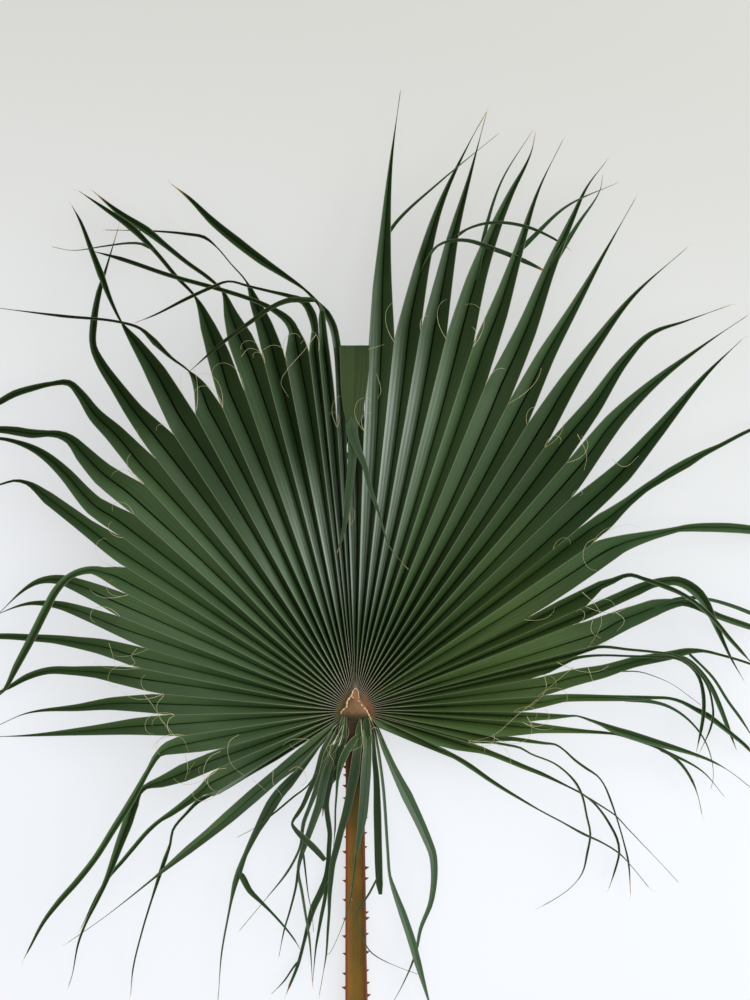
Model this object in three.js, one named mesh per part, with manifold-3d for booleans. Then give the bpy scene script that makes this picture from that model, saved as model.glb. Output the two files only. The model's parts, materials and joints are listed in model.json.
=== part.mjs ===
// A cut leaf of a fan palm, lying on a surface with its upper side up.
// Millimetres, +Z up. The leaf is drawn about its hub, the point where the stalk meets the fan:
// the stalk runs towards -Y and the fan opens towards +Y. The whole leaf is then moved, so that
// the origin is on the flat underside of the stalk, near its cut end.
import * as THREE from 'three';
import { mergeVertices } from 'three/addons/utils/BufferGeometryUtils.js';
import Module from 'manifold-3d';

const wasm = await Module();
wasm.setup();

const { lerp, clamp, smoothstep, degToRad, radToDeg } = THREE.MathUtils;

// Place of the origin, seen from the hub
const REST_X = 2.6;
const REST_Y = -372;

// Blade: heights above the surface, the pleats, and the leaf's thickness measured plumb
const HUB_HEIGHT = 26;
const HUB_RADIUS = 30;
const CROWN_RISE = 30;
const CROWN_RADIUS = 400;
const LEAF_DEPTH = 1.2;
const RIDGE_RISE = 0.0128;
const JOINED_SPANS = 3;

// Folds of the blade, in degrees: shallow at the hub, steepest a little way out, then opening again.
// Where ribs crowd together the folds get steeper. Each rib lies nearer to one of its two ridges.
const HALF_PLEAT = 0.0388;
const HUB_PLEAT = 35;
const STEEPEST_PLEAT = 58;
const OUTER_PLEAT = 30;
const FLATTEST_PLEAT = 25;
const HUB_PLEAT_RADIUS = 12;
const STEEPEST_PLEAT_RADIUS = 60;
const OUTER_PLEAT_RADIUS = 300;
const PLEAT_LEAN = 0.44;
const PLEAT_LEAN_TOWARDS = degToRad(95);

// Free ends of the segments
const FREE_PLEAT = 42;
const STRAND_PLEAT = 15;
const TIP_HALF_WIDTH = 0.7;
const TAPER = 1.7;
const STRAND_TAPER = 1.1;
const FALL = 1.3;
const FULL_WIDTH_AT = 0.25;
const DEEP_SPLIT = 0.6;

// Roots of the strands, sunk into the segments that they grow from
const STRAND_ROOT_SHARE = 0.37;
const STRAND_ROOT_SHIFT = 0.4;

// Stalk
const PETIOLE_CUT_Y = -444;
const PETIOLE_FLAT_END_Y = -300;
const PETIOLE_RIB_END_Y = 42;
const TOOTH_LENGTH = 5.6;
const TOOTH_BASE = 2.4;
const TOOTH_SINK = 1.8;
const TOOTH_SIDES = 4;
const TOOTH_FLATNESS = 0.6;
const TOOTH_TILT = degToRad(14);
const TOOTH_HEIGHT_SHARE = 0.7;

// Flap on top of the hub
const HASTULA_SEAT = 27.4;
const HASTULA_CENTRE_Y = -2;

// Start of the first segment's margin, then the segments clockwise as seen from above. Each has the
// split on its clockwise side, the height of its tip's underside, how far its free part arches up,
// and the points that its rib passes, from the splits outwards, some with the width there. Some give
// the width that the free part opens to, a taper of their own, or the slope that they are folded to.
const FIRST_MARGIN = [-6, -31];
const SEGMENTS = [
  { name: 'HL1', split: [-12.5, -30], end: 3, lift: 0, width: 10, pleat: 15, path: [[-9.5, -33.5],
    [-13.5, -46, 6], [-18, -60, 6], [-23.5, -75, 6], [-28.5, -93, 6], [-31.8, -108, 5.8], [-33, -120, 5.5],
    [-32, -132, 5.5], [-30.5, -142, 5.5], [-29, -155, 5], [-30, -172, 5], [-31, -190, 5], [-33.5, -208, 6],
    [-41, -228, 7], [-49, -245, 7], [-54, -262, 5], [-60, -285, 3.5], [-68, -315, 3.5], [-78, -340, 2.5],
    [-82, -350]] },
  { name: 'HL2', split: [-17, -29], end: 6, lift: 4, width: 9, pleat: 15, path: [[-15, -32],
    [-20.5, -45, 5], [-26.5, -60, 6.5], [-32, -76, 7.5], [-36.5, -92, 8], [-39.5, -106, 8.5],
    [-42.5, -120, 8], [-46, -130, 7.5], [-49.5, -140, 7], [-53, -150, 6.5], [-57, -161, 6],
    [-61.5, -174, 5], [-65.5, -187, 4], [-67.5, -200, 3], [-63.5, -222, 3], [-59, -250, 2.6],
    [-54, -282, 2.2], [-50, -340]] },
  { name: 'HL3', split: [-21, -27], end: 10, lift: 8, width: 8, pleat: 15, path: [[-19.3, -30.5],
    [-26.5, -43, 4], [-33, -56, 4.5], [-38.5, -70, 4.5], [-43, -88, 4.5], [-48.8, -108, 4.2],
    [-54.5, -124, 4], [-60.5, -140, 4.2], [-62.5, -152, 3.6], [-63.5, -165, 3], [-68, -178, 2.5],
    [-80, -200, 2.5], [-110, -238], [-138, -272]] },
  { name: 'HL4', split: [-25, -25.5], end: 14, lift: 25, width: 10, taper: 1, pleat: 15,
    path: [[-24, -29.5], [-32, -43, 5], [-38, -55, 5], [-41.5, -68, 5], [-44.5, -80, 5], [-49.5, -93, 5],
    [-54.5, -104, 5], [-61.5, -120, 4.5], [-68.5, -131, 4], [-74, -140, 2.5], [-72.5, -145, 4],
    [-63, -156, 6.5], [-50, -169, 7], [-42, -178, 6.5], [-37, -183, 5]] },
  { name: 'L27', split: [-72, -79], end: 3, lift: 0, width: 13, pleat: 22, path: [[-67, -82],
    [-79, -94, 12], [-90, -106, 13], [-99.5, -120, 14], [-108, -135, 12], [-116.5, -150, 8.5],
    [-124, -165, 7], [-131, -180, 5.5], [-138.5, -200, 7.5], [-143.5, -215, 6.5], [-148, -235, 3.5],
    [-151, -250, 2.6], [-160, -300, 2], [-164, -350], [-166, -370]] },
  { name: 'L26', split: [-54, -41], end: 5, lift: 11, width: 15, pleat: 22, path: [[-66, -62],
    [-92, -83, 15], [-120, -107, 16], [-150, -133, 15], [-175, -154, 12], [-200, -174, 10], [-240, -207],
    [-300, -255], [-345, -287]] },
  { name: 'L25', split: [-160, -100], end: 4, lift: 0, width: 7, path: [[-160.5, -105.5], [-183, -112, 5],
    [-202, -130, 3.4], [-218, -150, 3], [-221, -166, 3], [-227.5, -185, 5], [-234, -204, 4.5],
    [-243.5, -233, 2.4], [-256, -274, 2], [-267, -319, 1.8], [-270, -350]] },
  { name: 'L24', split: [-162, -74], end: 6, lift: 0, path: [[-172, -92], [-184, -102.5, 11],
    [-203, -117, 8.5], [-221, -130, 6.5], [-232, -137, 4.6], [-247, -150, 5], [-266, -172, 5],
    [-281, -190, 4.5], [-292.5, -203, 4], [-310, -230, 3], [-330, -270]] },
  { name: 'L23', split: [-155, -50], end: 3, lift: 8, taper: 1.1, path: [[-170, -65], [-205, -80, 21],
    [-232, -91, 13], [-250, -97, 6], [-258, -104, 7], [-264, -117, 12], [-272, -141, 12],
    [-281.5, -166, 10], [-289.5, -188, 8], [-297.5, -209, 6], [-310, -236, 4.5], [-323, -262, 3],
    [-332.5, -287, 2.5], [-341, -328], [-345, -340]] },
  { name: 'L22', split: [-203, -35], end: 5, lift: 18, width: 18, path: [[-205, -46], [-222, -50, 16],
    [-234, -57, 8], [-246, -76, 5.5], [-266, -112, 8], [-288, -147, 7.6], [-310, -182, 7], [-332, -210, 7],
    [-355, -236, 6.4], [-374, -261, 4.5], [-393, -296, 2], [-399, -307]] },
  { name: 'L21', split: [-215, -10], end: 6, lift: 0, path: [[-222, -22], [-260, -24], [-320, -30],
    [-400, -37], [-450, -39]] },
  { name: 'L20', split: [-228, 15], end: 4, lift: 0, path: [[-235, 3], [-290, 3], [-330, -2], [-395, -10],
    [-432, -26]] },
  { name: 'L19', split: [-256, 46], end: 4, lift: 0, path: [[-256, 33], [-285, 38, 20], [-310, 41, 14],
    [-335, 42, 10.5], [-368, 42, 8.5], [-394, 34, 7.5], [-417, 21, 4.5], [-440, 10]] },
  { name: 'L18', split: [-246, 69], end: 8, lift: 0, path: [[-262, 60], [-300, 71, 19], [-330, 76, 14],
    [-360, 80, 10], [-387, 81.5, 8.3], [-425, 83, 7], [-460, 80]] },
  { name: 'L17', split: [-280, 108], end: 6, lift: 0, path: [[-280, 94], [-345, 119], [-370, 123],
    [-395, 122], [-445, 103]] },
  { name: 'L16', split: [-270, 134], end: 6, lift: 0, path: [[-288, 126], [-345, 150], [-365, 152],
    [-385, 147], [-435, 105]] },
  { name: 'L15', split: [-273, 167], end: 12, lift: 20, taper: 1.2, path: [[-284, 155], [-300, 160, 14],
    [-314, 163.5, 9], [-338, 157, 7.5], [-356, 139, 9], [-368, 117, 9.5], [-387, 80, 9.5], [-406, 46, 8],
    [-421, 19, 4], [-432, 8]] },
  { name: 'L14', split: [-276, 202], end: 7, lift: 0, path: [[-290, 192], [-320, 215], [-368, 250, 15],
    [-394, 268, 5], [-410, 270.5, 3], [-425, 266.5, 2.4], [-445, 262]] },
  { name: 'L13', split: [-263, 230], end: 12, lift: 6, path: [[-282, 222], [-310, 240], [-349, 282, 15],
    [-370, 300, 11], [-387, 310, 8], [-406, 317, 5.3], [-425, 321, 3.8], [-450, 320], [-475, 316]] },
  { name: 'L12', split: [-251, 266], end: 5, lift: 0, taper: 1.4, path: [[-270, 255], [-300, 278],
    [-325, 303, 20], [-341, 320, 12], [-355, 326, 9], [-368, 327, 7.6], [-387, 327, 10.6],
    [-406, 330, 10.5], [-425, 332, 8.3], [-450, 332, 5], [-480, 331]] },
  { name: 'L11', split: [-237, 297], end: 0, lift: 0, path: [[-256, 290], [-285, 325], [-311, 350, 17],
    [-330, 376, 10.5], [-343, 388, 7.5], [-364, 387, 5.5], [-387, 382, 7.5], [-410, 375, 8.3],
    [-425, 367, 7.6], [-445, 356, 5], [-465, 345]] },
  { name: 'L10', split: [-215, 325], end: 8, lift: 0, path: [[-236, 320], [-262, 352, 22], [-285, 384, 15],
    [-304, 412, 11], [-313, 432, 8], [-313, 458, 8.5], [-307, 497, 6.5], [-300, 522, 3], [-285, 575]] },
  { name: 'L9', split: [-189, 349], end: 6, lift: 10, path: [[-208, 346], [-236, 398, 25], [-263, 438, 12],
    [-278, 459, 2.5], [-291, 485, 4.5], [-304, 518, 8], [-316, 548, 6], [-330, 583, 3.5], [-341, 603]] },
  { name: 'L8', split: [-157, 357], end: 8, lift: 20, path: [[-174, 356], [-184, 382, 16], [-197, 401, 2],
    [-218, 417, 3.5], [-238, 436, 7.5], [-255, 452, 3.5], [-280, 460, 3], [-350, 468, 3.5], [-430, 479]] },
  { name: 'L7', split: [-131, 378], end: 10, lift: 0, path: [[-149, 376], [-162, 420, 27], [-175, 455, 18],
    [-190, 490, 3], [-213, 515, 4.5], [-240, 547, 5], [-268, 575, 8], [-300, 598, 4.5], [-332, 620]] },
  { name: 'L6', split: [-107, 411], end: 8, lift: 0, path: [[-122, 408], [-136, 440, 30], [-148, 470, 16],
    [-158, 498, 2.5], [-175, 514, 4.5], [-200, 532, 5], [-225, 552, 6], [-250, 572, 9], [-285, 595, 6],
    [-315, 620]] },
  { name: 'L5', split: [-82, 417], end: 12, lift: 0, path: [[-97, 424], [-107, 455, 20], [-119, 485, 12],
    [-129, 509, 2], [-148, 531, 1.4], [-165, 551, 1.6], [-180, 563, 4], [-200, 567, 3.5], [-240, 571, 2],
    [-300, 573]] },
  { name: 'L4', split: [-54, 424], end: 16, lift: 20, path: [[-68, 430], [-72, 450, 12], [-79, 462, 10],
    [-100, 477, 6], [-120, 486, 5], [-160, 499, 5], [-220, 516, 5], [-280, 537, 5], [-318, 548]] },
  { name: 'L3', split: [-42, 425], end: 26, lift: 30, path: [[-47, 430], [-46.5, 450, 8], [-50, 468, 10],
    [-60, 484, 8], [-75, 490, 5], [-100, 496, 3.5], [-125, 502, 3], [-150, 508, 2.5], [-170, 501, 4],
    [-200, 488, 4], [-240, 469, 2], [-262, 461]] },
  { name: 'L2', split: [-20, 334], end: 52, lift: 40, path: [[-34, 424], [-37, 450, 9], [-40, 472, 8],
    [-46, 483, 6], [-60, 485.5, 7], [-75, 485.5, 6.5], [-95, 478, 5.5], [-120, 461, 5], [-160, 432, 4],
    [-197, 401]] },
  { name: 'L1', split: [-6, 215], end: 12, lift: 14, path: [[-14, 342], [-17, 400, 10], [-20, 430, 9],
    [-25, 455, 9], [-33, 471, 8], [-43, 483, 4], [-60, 500, 3], [-80, 514, 6], [-110, 534, 10],
    [-140, 557, 11], [-170, 582, 9], [-200, 612, 4], [-220, 628]] },
  { name: 'L0', split: [12, 330], end: 57, lift: 0, width: 20, taper: 0, pleat: 12, path: [[2, 335],
    [2, 380], [1, 432]] },
  { name: 'R0', split: [48, 436], end: 6, lift: 0, path: [[33, 442], [34, 500], [37, 560], [44, 650],
    [56, 742]] },
  { name: 'R1', split: [80, 450], end: 8, lift: 0, path: [[66, 452], [80, 520], [103, 600], [140, 680],
    [160, 716]] },
  { name: 'R2', split: [110, 440], end: 14, lift: 0, path: [[97, 455], [118, 560], [140, 640],
    [160, 715]] },
  { name: 'R3', split: [142, 430], end: 8, lift: 0, taper: 1.3, path: [[128, 446], [146, 510], [168, 570],
    [188, 615], [213, 665], [219, 690]] },
  { name: 'R4', split: [157, 384], end: 6, lift: 0, path: [[156, 430], [172, 470], [197, 545], [222, 620],
    [252, 682]] },
  { name: 'R5', split: [184, 362], end: 8, lift: 0, taper: 1.3, path: [[176, 384], [206, 450], [235, 525],
    [262, 585], [281, 625], [305, 657]] },
  { name: 'R6', split: [207, 337], end: 6, lift: 0, path: [[200, 360], [230, 420], [265, 480], [300, 542],
    [340, 612]] },
  { name: 'R7', split: [228, 310], end: 9, lift: 0, path: [[224, 334], [255, 385], [290, 435], [335, 492],
    [402, 552]] },
  { name: 'R8', split: [254, 292], end: 5, lift: 0, path: [[247, 312], [285, 358], [325, 415], [357, 447],
    [400, 463], [455, 483]] },
  { name: 'R9', split: [260, 250], end: 8, lift: 0, path: [[268, 285], [310, 340], [360, 388], [420, 433],
    [475, 470]] },
  { name: 'R10', split: [238, 188], end: 12, lift: 4, taper: 1.3, path: [[275, 238], [320, 280], [360, 325],
    [425, 400], [468, 441]] },
  { name: 'R11', split: [284, 194], end: 4, lift: 0, path: [[284, 213], [300, 222, 22], [320, 238, 14],
    [330, 246, 11], [350, 261.5, 9], [365, 271, 9.5], [380, 280.5, 11], [400, 291.5, 11], [420, 303, 7.5],
    [440, 312.5, 5], [470, 328, 4.3], [500, 341, 3], [530, 352]] },
  { name: 'R12', split: [204, 104], end: 0, lift: 0, path: [[296, 183], [320, 194.5, 21], [340, 200.5, 15],
    [360, 205.5, 10.5], [380, 210, 7.7], [390, 212.3, 6.8], [400, 213.5, 8.5], [420, 214.3, 10.5],
    [450, 213.8, 11.5], [475, 211.7, 10.5], [510, 206, 7], [540, 200]] },
  { name: 'R13', split: [277, 120], end: 14, lift: 26, taper: 1.3, path: [[280, 136], [295, 145, 10],
    [310, 150.5, 7], [322, 156, 5], [332, 157.5, 4.5], [345, 153.5, 4.5], [358, 149, 5.5], [374, 143, 6],
    [390, 136, 5], [405, 127, 4.5], [420, 115, 5], [435, 100, 5], [450, 82, 5], [465, 66, 4], [480, 50]] },
  { name: 'R14', split: [262, 98], end: 10, lift: 11, path: [[285, 114], [320, 131, 13], [340, 140, 13],
    [358, 147, 10], [375, 150, 10], [388, 150, 11], [402, 144, 12], [414, 134, 12.5], [424, 120, 10],
    [431, 105, 7.5], [438, 90, 6], [446, 73, 4], [455, 55, 2.5], [470, 30]] },
  { name: 'R15', split: [284, 72], end: 5, lift: 0, taper: 1.2, path: [[288, 86], [320, 103, 26],
    [340, 110.5, 23], [360, 118, 20], [380, 122.5, 12.5], [395, 124, 8], [410, 120.5, 8.5],
    [425, 113.5, 8.2], [440, 107, 7.3], [460, 100, 7.5], [475, 95, 7], [510, 80]] },
  { name: 'R16', split: [243, 53], end: 13, lift: 12, width: 9, path: [[270, 64], [292, 71, 3.6],
    [330, 68, 3], [360, 65, 3], [385, 61, 3], [400, 53, 3], [412, 42, 3], [420, 32, 3], [427, 18, 2.6],
    [431, 0, 2.6], [432, -12, 2.8], [429, -28, 2.6], [418, -55]] },
  { name: 'R17', split: [213, 33], end: 16, lift: 8, width: 9, path: [[248, 49], [262, 56.5, 4],
    [280, 60, 3.2], [300, 61, 2.6], [330, 60, 2.6], [360, 59, 3], [388, 57, 3.4], [405, 47, 3.6],
    [415, 33, 4], [420, 12, 4.6], [420.5, -8, 4.6], [418, -28, 4], [413, -55]] },
  { name: 'R18', split: [220, 12], end: 6, lift: 0, taper: 1.2, path: [[230, 24], [250, 31, 21],
    [270, 36, 19], [300, 42, 15.5], [320, 48, 13.5], [340, 53.5, 12.5], [360, 57, 11.5], [380, 60.5, 10.5],
    [400, 65, 8], [420, 65.5, 3.8], [440, 61, 3], [475, 50.5, 2.8], [500, 40]] },
  { name: 'R19', split: [191, -7], end: 6, lift: 0, path: [[224, 4], [250, 9.5, 9.5], [270, 10, 8.5],
    [300, 9.5, 7.5], [340, 9, 6.5], [360, 9.5, 4], [380, 8.5, 3.5], [395, 4, 4], [410, -4, 5],
    [425, -12, 7], [440, -23, 6], [455, -35, 5], [475, -52, 4], [485, -65]] },
  { name: 'R20', split: [202, -19], end: 4, lift: 8, path: [[208, -13], [222, -12.5, 9], [240, -12.5, 6.5],
    [258, -12, 3], [268, -12, 2], [282, -16.5, 3], [296, -21.5, 4.5], [310, -27.5, 8], [330, -34, 9.5],
    [350, -40.5, 9.5], [370, -46.5, 8], [390, -52.5, 6], [410, -59, 4], [430, -67, 3], [450, -78],
    [485, -105]] },
  { name: 'R21', split: [165, -36], end: 6, lift: 0, path: [[205, -26], [222, -26.7, 11.5], [240, -28, 9],
    [260, -29.5, 6.5], [280, -31, 4.5], [300, -32.5, 3.5], [315, -34.5, 2.6], [340, -42, 2.6],
    [365, -51, 3], [380, -59, 3.5], [395, -72, 3.5], [408, -92, 3], [415, -110], [420, -132]] },
  { name: 'R22', split: [137, -41], end: 4, lift: 4, width: 9, path: [[168, -39], [190, -39.5, 5],
    [210, -42.2, 4.5], [230, -45, 3.2], [242, -46.5, 2.4], [252, -53, 2.2], [265, -65, 2.8], [280, -76, 3],
    [292, -84, 2], [300, -94, 1.8], [308, -112, 2.4], [317, -138, 1.8], [325, -165, 1.8], [331, -190, 2.4],
    [334, -228]] },
  { name: 'R23', split: [137, -44], end: 5, lift: 0, width: 9, path: [[142, -43], [165, -43.8, 2.8],
    [185, -47, 3], [200, -50.5, 2.6], [212, -57.5, 2], [240, -69, 2], [256, -81, 2.4], [268, -95, 3],
    [275, -110, 2.6], [280, -133, 2.4], [284.5, -155, 2.4], [281, -178, 2.8], [275, -203, 1.5], [262, -220],
    [245, -233], [228, -243]] },
  { name: 'R24', split: [101, -48], end: 4, lift: 0, width: 14, path: [[140, -50], [152, -53, 8.5],
    [165, -57.5, 6.5], [185, -65.5, 6.2], [205, -74, 5.6], [225, -82, 4.8], [240, -89, 3.5],
    [258, -98, 2.2], [275, -107, 2.2], [288, -117, 2.2], [300, -131, 2.6], [310, -147, 3], [317, -161, 3],
    [320, -177, 2.6], [315, -200, 2.4], [308, -222]] },
  { name: 'R25', split: [30, -27], end: 6, lift: 14, width: 16, path: [[104, -54], [120, -61, 5.5],
    [140, -73, 6], [160, -87, 5], [180, -100, 4], [200, -112, 3], [222, -125, 1.8], [250, -140, 1.8],
    [275, -154, 3], [300, -166, 2], [320, -179, 2], [335, -195], [356, -221]] },
  { name: 'H1', split: [26, -29], end: 5, lift: 4, width: 18, taper: 1.2, pleat: 15, path: [[28.5, -31],
    [36, -50, 7], [45, -71, 8], [54, -90, 10], [63, -108, 12.5], [88, -162], [95, -182], [93, -235],
    [80, -270], [74, -300], [55, -345], [40, -370]] },
  { name: 'H2', split: [23.5, -30], end: 8, lift: 8, width: 10, pleat: 15, path: [[25, -33], [28.5, -50, 3],
    [31.5, -70, 3], [35.5, -103, 4], [43, -175, 6], [58, -250], [72, -298], [95, -375]] },
  { name: 'H3', split: [21, -31], end: 20, lift: -5, width: 10, taper: 0.2, pleat: 15, path: [[22.5, -34.5],
    [24, -50, 4.5], [25, -65, 6], [27, -85, 7], [28.5, -130, 9], [30, -190, 9], [31, -216, 8],
    [32, -228, 4]] },
  { name: 'H4', split: [11.5, -31], end: 20, lift: 5, width: 15, taper: 1, pleat: 15, path: [[16.5, -34],
    [16, -48, 10], [15, -62, 12], [13.5, -84, 13], [10, -131, 12], [3, -176], [-4, -225]] },
  { name: 'H5', split: [2, -30], end: 9, lift: 3, width: 13, taper: 1.2, pleat: 15, path: [[7, -34],
    [5, -48, 9], [3, -62, 10], [1, -80, 11], [-3, -100, 10], [-9, -128, 9], [-16, -152, 7.5],
    [-20.5, -170, 7.5], [-25.5, -190, 6.5], [-28, -210, 6], [-29.5, -230, 4.5], [-30, -250, 3.2],
    [-31.5, -270, 3], [-33.5, -300, 2], [-37, -322], [-42, -350]] },
];

// Torn halves and strands: the segment that each grows from, its width, the height of its tip's
// underside, its arch, and its points. The first point is moved onto the segment's rib. The first
// two are the halves of the middle segment's tip, which is folded back over the fan.
const STRANDS = [
  { of: 'L0', name: 'fold', width: 36, end: 54, lift: 6, path: [[1, 432], [1, 405, 35], [0, 380, 31],
    [-0.5, 350, 23], [0, 330, 12], [-1, 305, 11], [-3.5, 280, 9.5], [-7, 250, 8.5], [-10.5, 220, 5.5],
    [-15, 200, 3.5], [-20, 184]] },
  { of: 'fold', width: 9, end: 54, lift: 6, path: [[0, 330], [4, 312, 8], [9, 300, 7], [13, 288, 6.5],
    [17, 270, 6], [21.5, 255, 5], [27, 240, 4], [31, 228, 3], [36, 210, 2], [42, 192, 1.5], [52, 179],
    [65, 164]] },
  { of: 'L27', width: 8, end: 12, lift: 6, path: [[-138.5, -200], [-132, -212, 8], [-126, -223, 7],
    [-112, -237, 4.5], [-100, -249, 3.2], [-84, -267, 2.6], [-72, -283, 2], [-65, -295]] },
  { of: 'L7', width: 4, end: 8, lift: 8, path: [[-240, 547], [-255, 555], [-270, 556], [-300, 552.5],
    [-340, 548], [-365, 553]] },
  { of: 'R0', width: 5, end: 12, lift: 4, path: [[37, 560], [50, 580], [100, 627], [175, 690]] },
  { of: 'R1', width: 8, end: 16, lift: 14, path: [[80, 520], [100, 552], [130, 559], [170, 548],
    [232, 522]] },
  { of: 'R2', width: 8, end: 14, lift: 14, path: [[118, 560], [135, 572], [165, 580], [205, 576],
    [260, 549]] },
  { of: 'R3', width: 7, end: 10, lift: 4, path: [[146, 510], [160, 580], [178, 632], [216, 694]] },
  { of: 'R4', width: 7, end: 10, lift: 4, path: [[197, 545], [215, 563], [255, 600], [320, 631]] },
  { of: 'R5', width: 9, end: 8, lift: 2, path: [[235, 525], [270, 580], [297, 622], [300, 640]] },
  { of: 'R15', width: 5, end: 9, lift: 6, path: [[360, 118], [385, 128, 4], [405, 130, 4], [425, 128, 4],
    [445, 123, 4.5], [475, 112, 5], [510, 95]] },
  { of: 'R18', width: 6, end: 6, lift: 4, path: [[380, 60.5], [400, 56, 4], [415, 43, 4.5], [430, 22, 5.5],
    [440, 0, 6], [450, -25, 5], [462, -55]] },
  { of: 'R18', width: 4, end: 6, lift: 10, path: [[400, 65], [416, 50, 3], [432, 33, 3.4], [450, 5, 3.5],
    [465, -15, 3.5], [485, -45]] },
  { of: 'R19', width: 6, end: 5, lift: 0, path: [[310, 9], [380, -2], [420, -38], [434, -85],
    [431, -102]] },
  { of: 'R21', width: 5, end: 5, lift: 0, path: [[365, -48], [420, -80], [448, -112]] },
  { of: 'R24', width: 2.4, end: 5, lift: 4, path: [[275, -107], [290, -116.5], [305, -126], [315, -133],
    [330, -149], [350, -170], [370, -191], [392, -215]] },
  { of: 'H3', width: 4, end: 6, lift: 7, path: [[30, -205], [18, -228, 4], [6, -246, 4], [4.5, -256, 3.5],
    [9, -275, 3], [18, -295, 2.6], [27, -303, 2.2], [55, -317], [78, -326]] },
  { of: 'H5', width: 9, end: 9, lift: 12, path: [[7, -34], [0, -41, 8], [-6, -49, 9], [-11, -58, 9.5],
    [-14.5, -66, 9], [-17.5, -76, 7], [-20, -90, 4], [-21, -105, 3], [-22.5, -125, 2.5], [-23, -150, 2.2],
    [-25, -170]] },
];

// Stalk from its rib under the fan to the cut end: [y, middle x, width, underside z, top z]
const PETIOLE_STATIONS = [
  [PETIOLE_RIB_END_Y, 0, 4, 22, 25.2],
  [28, 0, 8, 18, 24.9],
  [8, 0, 15, 14, 24.5],
  [-20, 0.4, 22, 11.5, 24.3],
  [-55, 0.8, 22.5, 9.5, 22],
  [-100, 1.2, 22.5, 7.5, 19],
  [-160, 1.5, 23, 4.5, 17],
  [-230, 1.8, 24.5, 1.5, 15.8],
  [PETIOLE_FLAT_END_Y, 2.2, 25.5, 0, 15.2],
  [-370, 3, 27, 0, 14.8],
  [PETIOLE_CUT_Y, 3.4, 28, 0, 14.5],
];
// Section of the stalk, as shares of its width and height: flat below, hollowed above
const PETIOLE_SECTION = [
  [-0.2, 0], [0.2, 0], [0.4, 0.26], [0.49, 0.6], [0.5, 0.82], [0.42, 1],
  [0.18, 0.93], [-0.18, 0.93], [-0.42, 1], [-0.5, 0.82], [-0.49, 0.6], [-0.4, 0.26],
];
const TEETH_LEFT = [
  -66, -75, -85, -98, -113, -130, -145, -160, -178, -197, -213, -236, -259, -280, -301, -325, -342, -372,
  -398, -420,
];
const TEETH_RIGHT = [
  -137, -155, -172, -197, -210, -251, -258, -277, -299, -321, -336, -351, -378, -402, -425,
];

// Line round the flap along which all the ribs begin, clockwise from the lower left
const HUB_EDGE = [
  [-9, -21], [-13.5, -16], [-15.5, -10], [-13, -4], [-9.5, 2], [-6, 8.5], [-2.5, 15], [2, 20.5],
  [5.5, 14.5], [8.5, 8], [11.5, 2.5], [15, -3], [18.5, -8], [19, -14], [13, -20],
];

// Outline of the flap, anticlockwise from its apex
const HASTULA_OUTLINE = [
  [2, 22], [-2, 14], [-6, 6], [-9, -1], [-15, -6], [-15, -10], [-9, -14],
  [0, -17], [10, -15], [18, -12], [16, -6], [13, 0], [9, 6], [6, 12],
];
// Its rings from below upwards: [share of the outline, height above the seat]
const HASTULA_RINGS = [[0.42, -2.6], [0.46, 0], [0.97, 0], [1, 1.2], [0.82, 1.8], [0.45, 3.4]];

// A thin closed sheet: every point has a copy on the upper and on the lower face
class Sheet {
  constructor() {
    this.positions = [];
    this.triangles = [];
  }

  point(place, height) {
    this.positions.push(place.x, place.y, height + LEAF_DEPTH / 2);
    this.positions.push(place.x, place.y, height - LEAF_DEPTH / 2);
    return this.positions.length / 6 - 1;
  }

  triangle(a, b, c) {
    this.triangles.push(2 * a, 2 * b, 2 * c);
    this.triangles.push(2 * a + 1, 2 * c + 1, 2 * b + 1);
  }

  quad(a, b, c, d) {
    this.triangle(a, b, c);
    this.triangle(a, c, d);
  }

  // The rim below an edge that runs from a to b on the upper face
  rim(a, b) {
    this.triangles.push(2 * b, 2 * a, 2 * a + 1);
    this.triangles.push(2 * b, 2 * a + 1, 2 * b + 1);
  }

  // The points of one row across a segment, from its left edge over its rib to its right edge
  row({ left, rib, right }) {
    return [left, rib, right].map(({ place, height }) => this.point(place, height));
  }

  plates(rows) {
    for (let index = 1; index < rows.length; index += 1) {
      const [left, rib, right] = rows[index - 1];
      const [nextLeft, nextRib, nextRight] = rows[index];
      this.quad(left, rib, nextRib, nextLeft);
      this.quad(rib, right, nextRight, nextRib);
    }
  }

  margins(rows) {
    for (let index = 1; index < rows.length; index += 1) {
      this.rim(rows[index][0], rows[index - 1][0]);
      this.rim(rows[index - 1][2], rows[index][2]);
    }
  }

  end([left, rib, right]) {
    this.rim(right, rib);
    this.rim(rib, left);
  }

  solid() {
    return solidFrom(this.positions, this.triangles);
  }
}

function solidFrom(positions, triangles) {
  const vertProperties = new Float32Array(positions);
  const triVerts = new Uint32Array(triangles);
  return new wasm.Manifold(new wasm.Mesh({ numProp: 3, vertProperties, triVerts }));
}

function geometryFrom(solid) {
  const mesh = solid.getMesh();
  const geometry = new THREE.BufferGeometry();
  geometry.setAttribute('position', new THREE.Float32BufferAttribute(mesh.vertProperties, 3));
  geometry.setIndex(Array.from(mesh.triVerts));
  return geometry;
}

// A closed loft through rings of equally many points, each anticlockwise as seen from the last
function loft(rings, flatten) {
  const around = rings[0].length;
  const positions = rings.flat().flatMap((point) => point.toArray());
  const triangles = [];
  for (let ring = 0; ring + 1 < rings.length; ring += 1) {
    for (let side = 0; side < around; side += 1) {
      const a = ring * around + side;
      const b = ring * around + ((side + 1) % around);
      triangles.push(a, b, b + around);
      triangles.push(a, b + around, a + around);
    }
  }
  const last = around * (rings.length - 1);
  for (const [a, b, c] of THREE.ShapeUtils.triangulateShape(rings[0].map(flatten), [])) {
    triangles.push(a, c, b);
  }
  for (const [a, b, c] of THREE.ShapeUtils.triangulateShape(rings.at(-1).map(flatten), [])) {
    triangles.push(last + a, last + b, last + c);
  }
  return solidFrom(positions, triangles);
}

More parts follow.
